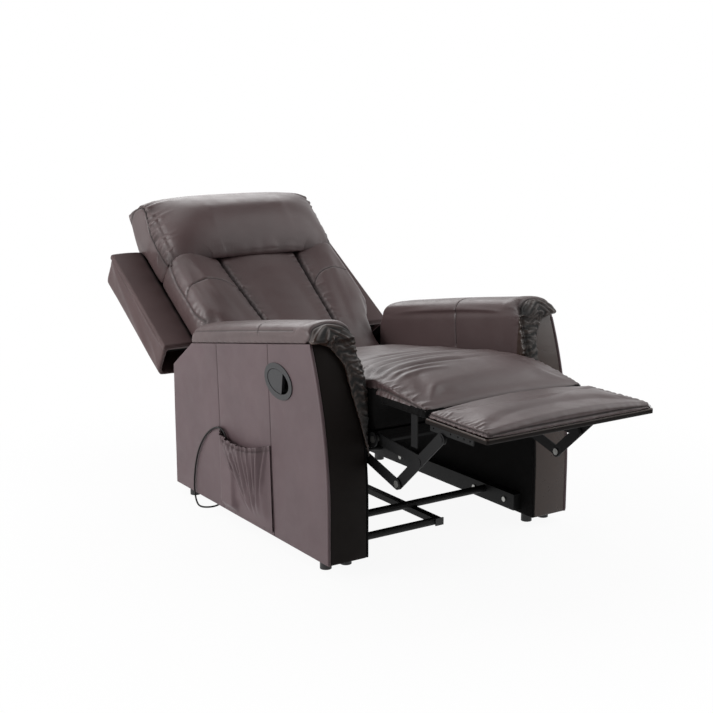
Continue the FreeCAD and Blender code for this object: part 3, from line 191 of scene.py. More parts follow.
@dataclass(frozen=True)
class Leather:
    """Polyurethane-coated leather: a thin film with a fine grain, satin where it is stretched."""

    name: str
    colour: str
    crease_shade_colour: str
    roughness: float
    grain: Grain = Grain.SMOOTH
    grain_size: float = 0.0024
    crumple_size: float = 0.05
    specular: float = 0.5

    def material(self) -> Any:
        """The finish as a material.

        Returns:
            A material that darkens with painted shade in the creases and grows rougher there.
        """
        material, tree, surface, place = new_material(self.name)
        # Grain cells of about 1 mm are drawn 2.4 mm wide, which is as fine as the picture shows.
        cells = add(tree, "ShaderNodeTexVoronoi", {"Scale": 1 / self.grain_size, "Randomness": 0.9}, {"Vector": place})
        crumple = add(
            tree, "ShaderNodeTexNoise",
            {"Scale": 1 / self.crumple_size, "Detail": 4.0, "Roughness": 0.55, "Distortion": 0.4}, {"Vector": place})
        mottle = add(tree, "ShaderNodeTexNoise", {"Scale": 6.0, "Detail": 2.0}, {"Vector": place})
        # The crease attribute is painted shade: it darkens the colour towards the crease colour and dulls the gloss.
        crease = add(tree, "ShaderNodeAttribute", {"attribute_name": "crease"}).outputs["Fac"]
        shade = add(
            tree, "ShaderNodeMapRange", {"From Min": 0.3, "From Max": 0.7, "To Min": 0.9, "To Max": 1.08},
            {"Value": mottle.outputs["Fac"]})
        tone = add(
            tree, "ShaderNodeHueSaturation", {"Color": linear(self.colour)}, {"Value": shade.outputs["Result"]})
        colour = add(
            tree, "ShaderNodeMix", {"data_type": "RGBA", 7: linear(self.crease_shade_colour)},
            {0: crease, 6: tone.outputs["Color"]})
        rough = add(
            tree, "ShaderNodeMapRange",
            {"From Min": 0.35, "From Max": 0.65, "To Min": self.roughness - 0.04, "To Max": self.roughness + 0.05},
            {"Value": crumple.outputs["Fac"]})
        dull = add(
            tree, "ShaderNodeMath", {"operation": "MULTIPLY_ADD", 1: 0.45, "use_clamp": True},
            {0: crease, 2: rough.outputs["Result"]})
        pebble = add(
            tree, "ShaderNodeBump", {"Strength": self.grain.value, "Distance": 0.00016, "invert": True},
            {"Height": cells.outputs["Distance"]})
        bump = add(
            tree, "ShaderNodeBump", {"Strength": 0.16, "Distance": 0.0012},
            {"Height": crumple.outputs["Fac"], "Normal": pebble.outputs["Normal"]})
        shader = add(
            tree, "ShaderNodeBsdfPrincipled", {"IOR": 1.5, "Specular IOR Level": self.specular},
            {"Base Color": colour.outputs[2], "Roughness": dull.outputs["Value"], "Normal": bump.outputs["Normal"]})
        tree.links.new(shader.outputs["BSDF"], surface)
        return material


@dataclass(frozen=True)
class Plain:
    """A hard finish with a fine texture: paint, plate or moulded plastic."""

    name: str
    colour: str
    second_colour: str
    roughness: float
    texture_size: float
    bump: float
    metallic: float = 0.0
    ior: float = 1.5

    def material(self) -> Any:
        """The finish as a material.

        Returns:
            A material whose colour, gloss and relief vary with its texture.
        """
        material, tree, surface, place = new_material(self.name)
        fine = add(
            tree, "ShaderNodeTexNoise", {"Scale": 1 / self.texture_size, "Detail": 5.0}, {"Vector": place})
        broad = add(tree, "ShaderNodeTexNoise", {"Scale": 9.0, "Detail": 2.0}, {"Vector": place})
        colour = add(
            tree, "ShaderNodeMix",
            {"data_type": "RGBA", 6: linear(self.colour), 7: linear(self.second_colour)},
            {0: fine.outputs["Fac"]})
        worn = add(
            tree, "ShaderNodeMapRange", {"From Min": 0.3, "From Max": 0.7, "To Min": 0.85, "To Max": 1.15},
            {"Value": broad.outputs["Fac"]})
        tone = add(tree, "ShaderNodeHueSaturation", {}, {"Color": colour.outputs[2], "Value": worn.outputs["Result"]})
        rough = add(
            tree, "ShaderNodeMapRange",
            {"From Min": 0.3, "From Max": 0.7, "To Min": self.roughness * 0.85, "To Max": self.roughness * 1.15},
            {"Value": fine.outputs["Fac"]})
        relief = add(
            tree, "ShaderNodeBump", {"Strength": self.bump, "Distance": 0.0003}, {"Height": fine.outputs["Fac"]})
        shader = add(
            tree, "ShaderNodeBsdfPrincipled", {"IOR": self.ior, "Metallic": self.metallic},
            {"Base Color": tone.outputs["Color"], "Roughness": rough.outputs["Result"],
             "Normal": relief.outputs["Normal"]})
        tree.links.new(shader.outputs["BSDF"], surface)
        return material


@dataclass(frozen=True)
class Woven:
    """A plain weave of round threads, as on elastic webbing and lining cloth."""

    name: str
    colour: str
    thread: float
    specular: float = 0.5
    sheen: float = 0.2

    def material(self) -> Any:
        """The finish as a material.

        Returns:
            A material with threads both ways.
        """
        material, tree, surface, place = new_material(self.name)
        bands = [
            add(tree, "ShaderNodeTexWave", {"bands_direction": axis, "Scale": 0.5 / self.thread}, {"Vector": place})
            for axis in ("X", "Y")
        ]
        weave = add(
            tree, "ShaderNodeMath", {"operation": "MAXIMUM"}, {0: bands[0].outputs["Fac"], 1: bands[1].outputs["Fac"]})
        shade = add(tree, "ShaderNodeMapRange", {"To Min": 0.7, "To Max": 1.15}, {"Value": weave.outputs["Value"]})
        tone = add(
            tree, "ShaderNodeHueSaturation", {"Color": linear(self.colour)}, {"Value": shade.outputs["Result"]})
        relief = add(
            tree, "ShaderNodeBump", {"Strength": 0.6, "Distance": 0.0004}, {"Height": weave.outputs["Value"]})
        shader = add(
            tree, "ShaderNodeBsdfPrincipled",
            {"Roughness": 0.85, "Sheen Weight": self.sheen, "Specular IOR Level": self.specular},
            {"Base Color": tone.outputs["Color"], "Normal": relief.outputs["Normal"]})
        tree.links.new(shader.outputs["BSDF"], surface)
        return material


class Finish(Enum):
    """Every finish on the chair."""

    # Stretched over foam, satin, with painted shade darkening its folds.
    CUSHION = Leather("leather_cushion", "#4E3F3F", "#100B0A", 0.38, Grain.PEBBLED, specular=0.4)
    # Drawn flat over hardboard: more even.
    PANEL = Leather("leather_panel", "#554548", "#261D1C", 0.5, Grain.PEBBLED, specular=0.35)
    # The back shell's cover: the same film, painted darker as shade, since the shell sits in shade.
    SHELL = Leather("leather_shell", "#4A3939", "#140E0D", 0.5, Grain.PEBBLED, specular=0.25)
    # The smooth strip on the arms' fronts and the footrest board: the panels' leather painted near black as shade,
    # since these faces look away from the lights; the film lies dull there.
    FRONT = Leather("leather_front", "#171210", "#080605", 0.55, specular=0.1)
    # The gathered rolls: the cushion's leather painted darker as shade where it turns away from the lights, and near
    # black in the furrows as painted shadow.
    ROLL = Leather("leather_roll", "#35261F", "#040302", 0.30, specular=0.42)
    # Sewing thread: matt twisted polyester.
    THREAD = Plain("polyester_thread", "#2A2220", "#2A2220", 0.7, 0.0012, 0.5)
    # Powder coat: a faint orange peel under a low gloss, near black and darkened further as painted shade under the
    # seat.
    BLACK_STEEL = Plain("powder_coated_steel", "#070708", "#0D0D0E", 0.55, 0.0016, 0.25, ior=1.3)
    # Zinc plate: pale grey, with fine drawn marks.
    BRIGHT_STEEL = Plain("zinc_plated_steel", "#B4B4B0", "#9A9A98", 0.34, 0.0012, 0.15, metallic=1.0)
    # Injection-moulded nylon: waxy and matt.
    NYLON = Plain("moulded_nylon", "#0D0D0E", "#1E1E1F", 0.55, 0.0015, 0.2)
    # ABS with a spark-eroded texture.
    GREY_PLASTIC = Plain("moulded_grey_abs", "#1A1A1D", "#202023", 0.5, 0.0011, 0.3)
    BLACK_PLASTIC = Plain("moulded_black_abs", "#101011", "#18181A", 0.38, 0.0011, 0.25)
    # PVC cord sheath: smooth and slightly greasy.
    CORD = Plain("pvc_cord_sheath", "#080707", "#0C0A09", 0.5, 0.002, 0.1, ior=1.3)
    # Elastic webbing: matt, with its threads standing up.
    WEBBING = Woven("elastic_webbing", "#161515", 0.0012)
    # Spun lining cloth stapled over the timber: near black, darkened further as painted shade for the dark under the
    # seat, without a sheen. It is also laid on the seat cover's sides and the arms' inner panels as painted shade.
    LINING = Woven("black_lining_cloth", "#070606", 0.0012, specular=0.12, sheen=0.0)


MADE: dict[Finish, Any] = {}


def material_of(finish: Finish) -> Any:
    """The material of a finish, made when it is first asked for.

    Args:
        finish: The finish.

    Returns:
        Its material.
    """
    if finish not in MADE:
        MADE[finish] = finish.value.material()
    return MADE[finish]


def dress(obj: Any, finish: Finish) -> None:
    """Gives an object one finish all over."""
    obj.data.materials.clear()
    obj.data.materials.append(material_of(finish))


def rows_of(items: Any, key: str) -> Array:
    """A vector of each vertex or face.

    Args:
        items: A mesh's vertices or faces.
        key: The vector's name.

    Returns:
        A row for each of them.
    """
    flat = np.empty(len(items) * 3, np.float64)
    items.foreach_get(key, flat)
    return flat.reshape(-1, 3)


def dress_part(obj: Any, finish: Finish, chosen: Callable[[Array, Array], Array]) -> None:
    """Gives some faces of a dressed object a second finish.

    Args:
        obj: The object.
        finish: The second finish.
        chosen: Tells from the faces' middles and normals which of them get it.
    """
    faces = obj.data.polygons
    picked = chosen(rows_of(faces, "center"), rows_of(faces, "normal"))
    obj.data.materials.append(material_of(finish))
    faces.foreach_set("material_index", picked.astype(np.int32) * (len(obj.data.materials) - 1))


# Meshes

def new_object(name: str, mesh: Any) -> Any:
    """An object in the scene.

    Args:
        name: Its name.
        mesh: Its mesh or curve.

    Returns:
        The object.
    """
    obj = bpy.data.objects.new(name, mesh)
    bpy.context.scene.collection.objects.link(obj)
    return obj


@contextmanager
def edited(mesh: Any, keep: bool = True) -> Iterator[Any]:
    """Opens a mesh for editing.

    Args:
        mesh: The mesh.
        keep: Whether the edits go back into it.

    Yields:
        Its editable copy.
    """
    work = bmesh.new()
    work.from_mesh(mesh)
    yield work
    if keep:
        work.to_mesh(mesh)
    work.free()


def applied(obj: Any) -> None:
    """Turns an object's modifiers into its mesh.

    Args:
        obj: The object, which keeps its name and gets a new mesh.
    """
    graph = bpy.context.evaluated_depsgraph_get()
    mesh = bpy.data.meshes.new_from_object(obj.evaluated_get(graph), depsgraph=graph)
    obj.modifiers.clear()
    obj.data = mesh


def smoothed(obj: Any, rounds: int) -> None:
    """Evens out an object's vertices.

    Args:
        obj: The object, whose other modifiers are applied first.
        rounds: How often each vertex moves half way to its neighbours' middle.
    """
    smooth = obj.modifiers.new("smooth", "SMOOTH")
    smooth.factor = 0.5
    smooth.iterations = rounds
    applied(obj)


def coordinates(mesh: Any) -> Array:
    """The places of a mesh's vertices, a row for each."""
    return rows_of(mesh.vertices, "co")


def place_vertices(mesh: Any, places: Array) -> None:
    """Moves a mesh's vertices to new places, a row for each."""
    mesh.vertices.foreach_set("co", np.ascontiguousarray(places, np.float32).ravel())
    mesh.update()


def merged_copy(name: str, nodes: Sequence[str], side: Optional[Side] = None) -> Any:
    """A joined copy of CAD nodes with their doubles merged.

    Args:
        name: The new object's name.
        nodes: The CAD nodes.
        side: The side of the chair to keep, or both.

    Returns:
        An object of one mesh.
    """
    work = bmesh.new()
    for node in nodes:
        work.from_mesh(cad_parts[node].data)
    if side:
        other = [v for v in work.verts if v.co.x * side.value < 0]
        bmesh.ops.delete(work, geom=other, context="VERTS")
    bmesh.ops.remove_doubles(work, verts=work.verts, dist=1e-6)
    mesh = bpy.data.meshes.new(name)
    work.to_mesh(mesh)
    work.free()
    return new_object(name, mesh)


def store_crease_shade(mesh: Any, depths: Array) -> None:
    """Stores each vertex's painted crease shade, from 0 to 1, which darkens the leather's colour."""
    stored = mesh.attributes.get("crease") or mesh.attributes.new("crease", "FLOAT", "POINT")
    stored.data.foreach_set("value", np.clip(depths, 0, 1).astype(np.float32).ravel())


def ramp(values: Array, low: float, high: float) -> Array:
    """A smooth step from 0 at low to 1 at high."""
    share = np.clip((values - low) / (high - low), 0, 1)
    return share * share * (3 - 2 * share)


def bell(values: Array, middle: Any = 0.0, width: float = 1.0) -> Array:
    """A bell curve of height 1, which falls to 1/e at its half width."""
    return np.exp(-((values - middle) / width) ** 2)


def strides(line: Array) -> Array:
    """The distances between a path's steps."""
    return np.linalg.norm(np.diff(line, axis=0), axis=1)


def grid_faces(rows: int, columns: int) -> list[tuple[int, ...]]:
    """The four-sided faces of a grid whose vertices are numbered row by row.

    Args:
        rows: How many faces it has one way.
        columns: How many it has the other way.

    Returns:
        The vertices' numbers for each face.
    """
    wide = columns + 1
    corners = (0, 1, wide + 1, wide)
    return [
        tuple(row * wide + column + corner for corner in corners) for row in range(rows) for column in range(columns)]


class Relief:
    """Seams, folds and gathers pressed into a mesh, and the painted shade that each point gets in its crease."""

    STEP = 0.002
    CHUNK = 4000
    # Beside a fold's crest: its hollow as a share of the height, then where the hollow and the crease's painted shade
    # lie, in half widths.
    HOLLOW, HOLLOW_PLACE, HOLLOW_WIDTH, CREASE_PLACE, CREASE_WIDTH = 0.6, 1.5, 0.7, 1.3, 0.5
    # A gather's ridges sink along their run and are held low at the seam, in a bed below the leather's level; their
    # furrows get painted shade.
    SINK, SEAM_HOLD, SEAM_RELEASE, BED, FURROW_SHADE = 1.6, 0.55, 7, 0.45, 1.6

    def __init__(self, mesh: Any) -> None:
        """Reads the mesh.

        Args:
            mesh: The mesh to be worked.
        """
        self.mesh = mesh
        self.at = coordinates(mesh)
        self.out = rows_of(mesh.vertices, "normal")
        self.push = np.zeros(len(self.at))
        # Painted shade in the creases, from 0 to 1.
        self.crease = np.zeros(len(self.at))
        self.tree = BVHTree.FromPolygons(self.at.tolist(), [list(p.vertices) for p in mesh.polygons])

    def line(self, points: Sequence[Vector], closed: bool = False) -> Array:
        """A path laid on the surface, in short even steps.

        Args:
            points: Places near the surface.
            closed: Whether the path returns to its start.

        Returns:
            The steps' places.
        """
        ends = [Vector(p) for p in points] + ([Vector(points[0])] if closed else [])
        steps = []
        for index, (start, end) in enumerate(zip(ends, ends[1:])):
            before = ends[index - 1] if index else start - (end - start)
            after = ends[index + 2] if index + 2 < len(ends) else end + (end - start)
            count = max(1, round((end - start).length / self.STEP))
            for step in range(count):
                t = step / count
                steps.append(0.5 * (
                    2 * start + (end - before) * t + (2 * before - 5 * start + 4 * end - after) * t * t
                    + (3 * start - before - 3 * end + after) * t ** 3))
        steps.append(ends[-1])
        return np.array([self.tree.find_nearest(step)[0] for step in steps])

    def near(self, line: Array, reach: float) -> tuple[Array, Array, Array, Array]:
        """The vertices near a path.

        Args:
            line: The path's steps.
            reach: The furthest distance.

        Returns:
            Their numbers, distances from the path, places along it and sides of it.
        """
        low, high = line.min(0) - reach, line.max(0) + reach
        picked = np.nonzero(((self.at > low) & (self.at < high)).all(1))[0]
        tangents = np.gradient(line, axis=0)
        tangents /= np.maximum(np.linalg.norm(tangents, axis=1, keepdims=True), 1e-12)
        lengths = np.concatenate([[0], np.cumsum(strides(line))])
        numbers, away, along, side = [], [], [], []
        for chunk in np.array_split(picked, max(1, len(picked) // self.CHUNK)):
            if not len(chunk):
                continue
            gaps = ((self.at[chunk][:, None] - line[None]) ** 2).sum(2)
            best = gaps.argmin(1)
            offset = self.at[chunk] - line[best]
            ahead = (offset * tangents[best]).sum(1)
            apart = np.sqrt(np.maximum((offset ** 2).sum(1) - ahead ** 2, 0))
            hand = np.sign((np.cross(self.out[chunk], tangents[best]) * offset).sum(1))
            close = np.sqrt(gaps.min(1)) < reach
            numbers.append(chunk[close])
            away.append(apart[close])
            along.append((lengths[best] + ahead)[close])
            side.append(hand[close])
        if not numbers:
            return np.zeros(0, int), np.zeros(0), np.zeros(0), np.zeros(0)
        return np.concatenate(numbers), np.concatenate(away), np.concatenate(along), np.concatenate(side)

    def sunk(self, line: Array, depth: float) -> Array:
        """A path lowered by its groove's depth."""
        normals = np.array([self.tree.find_nearest(Vector(step))[1] for step in line])
        return line - normals * depth

    def darken(self, numbers: Array, shade: Array) -> None:
        """Raises the painted crease shade at some vertices to a level, where it is lighter."""
        self.crease[numbers] = np.maximum(self.crease[numbers], shade)

    def groove(self, line: Array, depth: float, width: float, dark: float = 1.0) -> None:
        """Presses a seam along a path.

        Args:
            line: The path.
            depth: How deep the seam lies.
            width: Half its width.
            dark: How dark the painted shade in the seam's middle is, up to 1.
        """
        numbers, away, _, _ = self.near(line, width * 3)
        self.push[numbers] -= depth * bell(away / width)
        self.darken(numbers, dark * bell(away / width * 1.5))

    def fold(self, line: Array, height: float, width: float, dark: float = 0.25) -> None:
        """Raises a soft fold with a crease in painted shade on one side of it, fading at both ends.

        Args:
            line: The path of the fold's crest.
            height: The crest's height.
            width: Half the crest's width.
            dark: How dark the painted shade in the crease beside the fold is.
        """
        numbers, away, along, side = self.near(line, width * 4)
        length = strides(line).sum()
        end = np.sin(np.pi * np.clip(along / length, 0, 1)) ** 0.7
        place = away * side / width
        shape = bell(place) - self.HOLLOW * bell(place, self.HOLLOW_PLACE, self.HOLLOW_WIDTH)
        self.push[numbers] += height * shape * end
        self.darken(numbers, dark * end * bell(place, self.CREASE_PLACE, self.CREASE_WIDTH))

    def gather(
        self, line: Array, height: float, pitch: float, reach: float, seed: int,
        hand: int = 0, lean: float = 0.0, dark: float = 0.5,
    ) -> None:
        """Lays short ridges away from a path, as where leather is gathered into a seam.

        Args:
            line: The path.
            height: The ridges' height.
            pitch: The usual distance between two ridges.
            reach: How far they run from the path.
            seed: The start of the random draws.
            hand: The side of the path that has them: 1, -1, or 0 for both.
            lean: How far a ridge moves along the path for each unit of its run.
            dark: How dark the painted shade in the furrows between them is.
        """
        draw = np.random.default_rng(seed)
        numbers, away, along, side = self.near(line, reach * 1.5)
        if hand:
            kept = side * hand > 0
            numbers, away, along, side = numbers[kept], away[kept], along[kept], side[kept]
        length = strides(line).sum()
        count = max(2, round(length / pitch))
        crests = (np.arange(count) + 0.5 + draw.uniform(-0.28, 0.28, count)) * length / count
        heights = draw.uniform(0.45, 1.0, count)
        reaches = reach * draw.uniform(0.55, 1.25, count)
        leans = lean + draw.uniform(-0.35, 0.35, count)
        widths = pitch * draw.uniform(0.26, 0.4, count)
        rise = np.zeros(len(numbers))
        for crest, tall, far, slant, wide in zip(crests, heights, reaches, leans, widths):
            place = (along - crest - slant * away) / wide
            run = away / far
            fade = np.exp(-self.SINK * run ** 2) * (1 - self.SEAM_HOLD * np.exp(-run * self.SEAM_RELEASE))
            rise += tall * bell(place) * fade
        shape = rise - self.BED * np.exp(-self.SINK * (away / reach) ** 2)
        self.push[numbers] += height * shape
        self.darken(numbers, np.clip(-shape * self.FURROW_SHADE, 0, 1) * dark)

    def swell(self, weights: Array, height: float) -> None:
        """Raises the surface by each vertex's share of a height."""
        self.push += weights * height

    def finish(self, low: float = -0.02, high: float = 0.014) -> None:
        """Moves the vertices and stores the painted crease shade.

        Args:
            low: The deepest that a vertex may go.
            high: The furthest out that it may go.
        """
        place_vertices(self.mesh, self.at + self.out * np.clip(self.push, low, high)[:, None])
        store_crease_shade(self.mesh, self.crease)
        self.mesh.shade_smooth()


# Repeats that follow a path

class Trim(Enum):
    """What runs along a seam."""

    STITCHES = "stitches"
    PIPING = "piping"


class TrimTree:
    """Node trees that lay stitches or piping along a mesh's edges."""

    def __init__(self) -> None:
        """Starts with no tree."""
        self.trees: dict[Trim, Any] = {}

    def tree(self, trim: Trim) -> Any:
        """The tree for one kind of trim.

        Args:
            trim: The kind.

        Returns:
            The node group.
        """
        if trim in self.trees:
            return self.trees[trim]
        group = bpy.data.node_groups.new(trim.value, "GeometryNodeTree")
        face = group.interface
        face.new_socket("Geometry", in_out="INPUT", socket_type="NodeSocketGeometry")
        for name, value in (("Pitch", 0.0055), ("Length", 0.004), ("Radius", 0.0006)):
            face.new_socket(name, in_out="INPUT", socket_type="NodeSocketFloat").default_value = value
        face.new_socket("Material", in_out="INPUT", socket_type="NodeSocketMaterial")
        face.new_socket("Geometry", in_out="OUTPUT", socket_type="NodeSocketGeometry")
        start = add(group, "NodeGroupInput", {}).outputs
        path = add(group, "GeometryNodeMeshToCurve", {}, {"Mesh": start["Geometry"]}).outputs["Curve"]
        if trim is Trim.STITCHES:
            spots = add(
                group, "GeometryNodeCurveToPoints", {"mode": "LENGTH"}, {"Curve": path, "Length": start["Pitch"]})
            grain = add(group, "GeometryNodeMeshUVSphere", {"Segments": 6, "Rings": 4, "Radius": 1.0})
            half = add(group, "ShaderNodeMath", {"operation": "MULTIPLY", 1: 0.5}, {0: start["Length"]})
            scale = add(
                group, "ShaderNodeCombineXYZ", {},
                {"X": start["Radius"], "Y": start["Radius"], "Z": half.outputs["Value"]})
            tilt = add(
                group, "FunctionNodeRandomValue", {"data_type": "FLOAT", 2: -0.12, 3: 0.12, "Seed": 7})
            turn = add(group, "ShaderNodeCombineXYZ", {}, {"X": tilt.outputs[1]})
            rotate = add(
                group, "FunctionNodeRotateRotation", {"rotation_space": "LOCAL"},
                {"Rotation": spots.outputs["Rotation"], "Rotate By": turn.outputs["Vector"]})
            placed = add(
                group, "GeometryNodeInstanceOnPoints", {},
                {"Points": spots.outputs["Points"], "Instance": grain.outputs["Mesh"],
                 "Rotation": rotate.outputs["Rotation"], "Scale": scale.outputs["Vector"]})
            solid = placed.outputs["Instances"]
        else:
            ring = add(group, "GeometryNodeCurvePrimitiveCircle", {"Resolution": 10}, {"Radius": start["Radius"]})
            even = add(
                group, "GeometryNodeResampleCurve", {"mode": "LENGTH"}, {"Curve": path, "Length": start["Pitch"]})
            solid = add(
                group, "GeometryNodeCurveToMesh", {"Fill Caps": True},
                {"Curve": even.outputs["Curve"], "Profile Curve": ring.outputs["Curve"]}).outputs["Mesh"]
        real = add(group, "GeometryNodeRealizeInstances", {}, {"Geometry": solid})
        smooth = add(group, "GeometryNodeSetShadeSmooth", {}, {"Geometry": real.outputs["Geometry"]})
        painted = add(
            group, "GeometryNodeSetMaterial", {},
            {"Geometry": smooth.outputs["Geometry"], "Material": start["Material"]})
        end = add(group, "NodeGroupOutput", {})
        group.links.new(painted.outputs["Geometry"], end.inputs["Geometry"])
        self.trees[trim] = group
        return group

    def lay(
        self, name: str, trim: Trim, paths: Sequence[Array], body: str, finish: Finish, sizes: dict[str, float],
    ) -> Any:
        """One piece of trim along several paths.

        Args:
            name: The piece's name.
            trim: What it is.
            paths: The paths' steps.
            body: The body that it rides on.
            finish: Its finish.
            sizes: Its pitch, length and radius.

        Returns:
            The piece.
        """
        vertices: list[Point] = []
        edges: list[tuple[int, int]] = []
        for path in paths:
            first = len(vertices)
            vertices.extend(path.tolist())
            edges.extend((first + step, first + step + 1) for step in range(len(path) - 1))
        mesh = bpy.data.meshes.new(name)
        mesh.from_pydata(vertices, edges, [])
        obj = new_object(name, mesh)
        modifier = obj.modifiers.new("trim", "NODES")
        modifier.node_group = self.tree(trim)
        inputs = {
            item.name: item.identifier for item in modifier.node_group.interface.items_tree
            if item.item_type == "SOCKET" and item.in_out == "INPUT"
        }
        for key, value in sizes.items():
            modifier[inputs[key]] = value
        modifier[inputs["Material"]] = material_of(finish)
        applied(obj)
        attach(obj, body)
        return obj


TRIMS = TrimTree()
SEWING = {"Pitch": 0.0062, "Length": 0.0046, "Radius": 0.00075}
WELT = {"Pitch": 0.006, "Radius": 0.0022}


def stitch(name: str, paths: Sequence[Array], body: str) -> Any:
    """One piece with a row of stitches along each path."""
    return TRIMS.lay(name, Trim.STITCHES, paths, body, Finish.THREAD, SEWING)


# Padded pieces

# Thin leather over foam: it hardly stretches, bends easily, and is sewn 1 per cent small.
LEATHER_CLOTH: dict[str, Any] = {
    "quality": 5, "mass": 0.4, "tension_stiffness": 12, "compression_stiffness": 6, "shear_stiffness": 5,
    "bending_stiffness": 1.5, "shrink_min": 0.01, "use_pressure": True}


@dataclass
class Pad:
    """A stuffed piece that starts from its CAD solid."""

    name: str
    nodes: tuple[str, ...]
    body: str
    finish: Finish
    voxel: float
    swelling: float
    fill: float
    side: Optional[Side] = None
    start_smaller: float = 0.004
    pressure: float = 4.0
    frames: int = 16
    smoothing: int = 3
    easing: int = 5
    subdivide: bool = True

    def blank(self) -> Any:
        """The evenly meshed copy of the CAD solid.

        Returns:
            The object.
        """
        obj = merged_copy(self.name, self.nodes, self.side)
        self.prepare(obj)
        remesh = obj.modifiers.new("even", "REMESH")
        remesh.mode = "VOXEL"
        remesh.voxel_size = self.voxel
        smoothed(obj, self.smoothing)
        return obj

    def prepare(self, obj: Any) -> None:
        """Changes the copy before it is meshed evenly."""

    def held(self, places: Array) -> Array:
        """How firmly the sewing and the frame hold each vertex, from 0, free, to 1."""
        return np.zeros(len(places))

    def inflate(self, obj: Any) -> None:
        """Lets the filling press the leather out between what holds it.

        Args:
            obj: The evenly meshed object.
        """
        if not self.swelling:
            return
        mesh = obj.data
        start = coordinates(mesh)
        weights = np.clip(self.held(start), 0, 1)
        inwards = -rows_of(mesh.vertices, "normal")
        place_vertices(mesh, start + inwards * (self.start_smaller * (1 - weights))[:, None])
        pins = obj.vertex_groups.new(name="held")
        for level in range(1, 11):
            chosen = np.nonzero(np.round(weights * 10) == level)[0]
            if len(chosen):
                pins.add(chosen.tolist(), level / 10, "REPLACE")
        cloth = obj.modifiers.new("filling", "CLOTH")
        for key, value in LEATHER_CLOTH.items():
            setattr(cloth.settings, key, value)
        cloth.settings.uniform_pressure_force = self.pressure
        cloth.settings.vertex_group_mass = "held"
        cloth.settings.effector_weights.gravity = 0
        cloth.collision_settings.use_collision = False
        cloth.point_cache.frame_end = self.frames
        for number in range(1, self.frames + 1):
            bpy.context.scene.frame_set(number)
        graph = bpy.context.evaluated_depsgraph_get()
        moved = coordinates(obj.evaluated_get(graph).data) - start
        obj.modifiers.clear()
        obj.vertex_groups.clear()
        bpy.context.scene.frame_set(1)
        length = np.maximum(np.linalg.norm(moved, axis=1), 1e-9)
        moved *= (np.minimum(length, self.swelling) / length)[:, None]
        moved[~np.isfinite(moved).all(1)] = 0
        place_vertices(mesh, start + moved)
        smoothed(obj, self.easing)

    def shape(self, relief: Relief) -> None:
        """Presses the piece's seams and folds."""

    def build(self) -> Any:
        """Makes the piece.

        Returns:
            The finished object.
        """
        obj = self.blank()
        self.inflate(obj)
        if self.subdivide:
            finer = obj.modifiers.new("finer", "SUBSURF")
            finer.levels = finer.render_levels = 1
            applied(obj)
        relief = Relief(obj.data)
        self.shape(relief)
        relief.finish()
        dress(obj, self.finish)
        self.line(obj)
        self.attach(obj)
        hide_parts(*self.nodes)
        LOG.info("%s: %d faces", self.name, len(obj.data.polygons))
        return obj

    def line(self, obj: Any) -> None:
        """Gives parts of the piece another finish."""

    def attach(self, obj: Any) -> None:
        """Puts the piece on its body."""
        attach(obj, self.body)


def add_pillow(mesh: Any, slope: Slope, centre: Point, radii: Point, power: float) -> None:
    """Adds a closed rounded block to a mesh that is about to be meshed evenly.

    Args:
        mesh: The mesh.
        slope: The frame of the centre and the radii.
        centre: Its x, along and out.
        radii: Its three half lengths.
        power: 2 for an ellipsoid, more for a squarer block.
    """
    with edited(mesh) as work:
        for vertex in bmesh.ops.create_uvsphere(work, u_segments=64, v_segments=40, radius=1)["verts"]:
            size = sum(abs(way) ** power for way in vertex.co) ** (1 / power)
            vertex.co = slope.point(
                *(middle + radius * way / size for middle, radius, way in zip(centre, radii, vertex.co)))


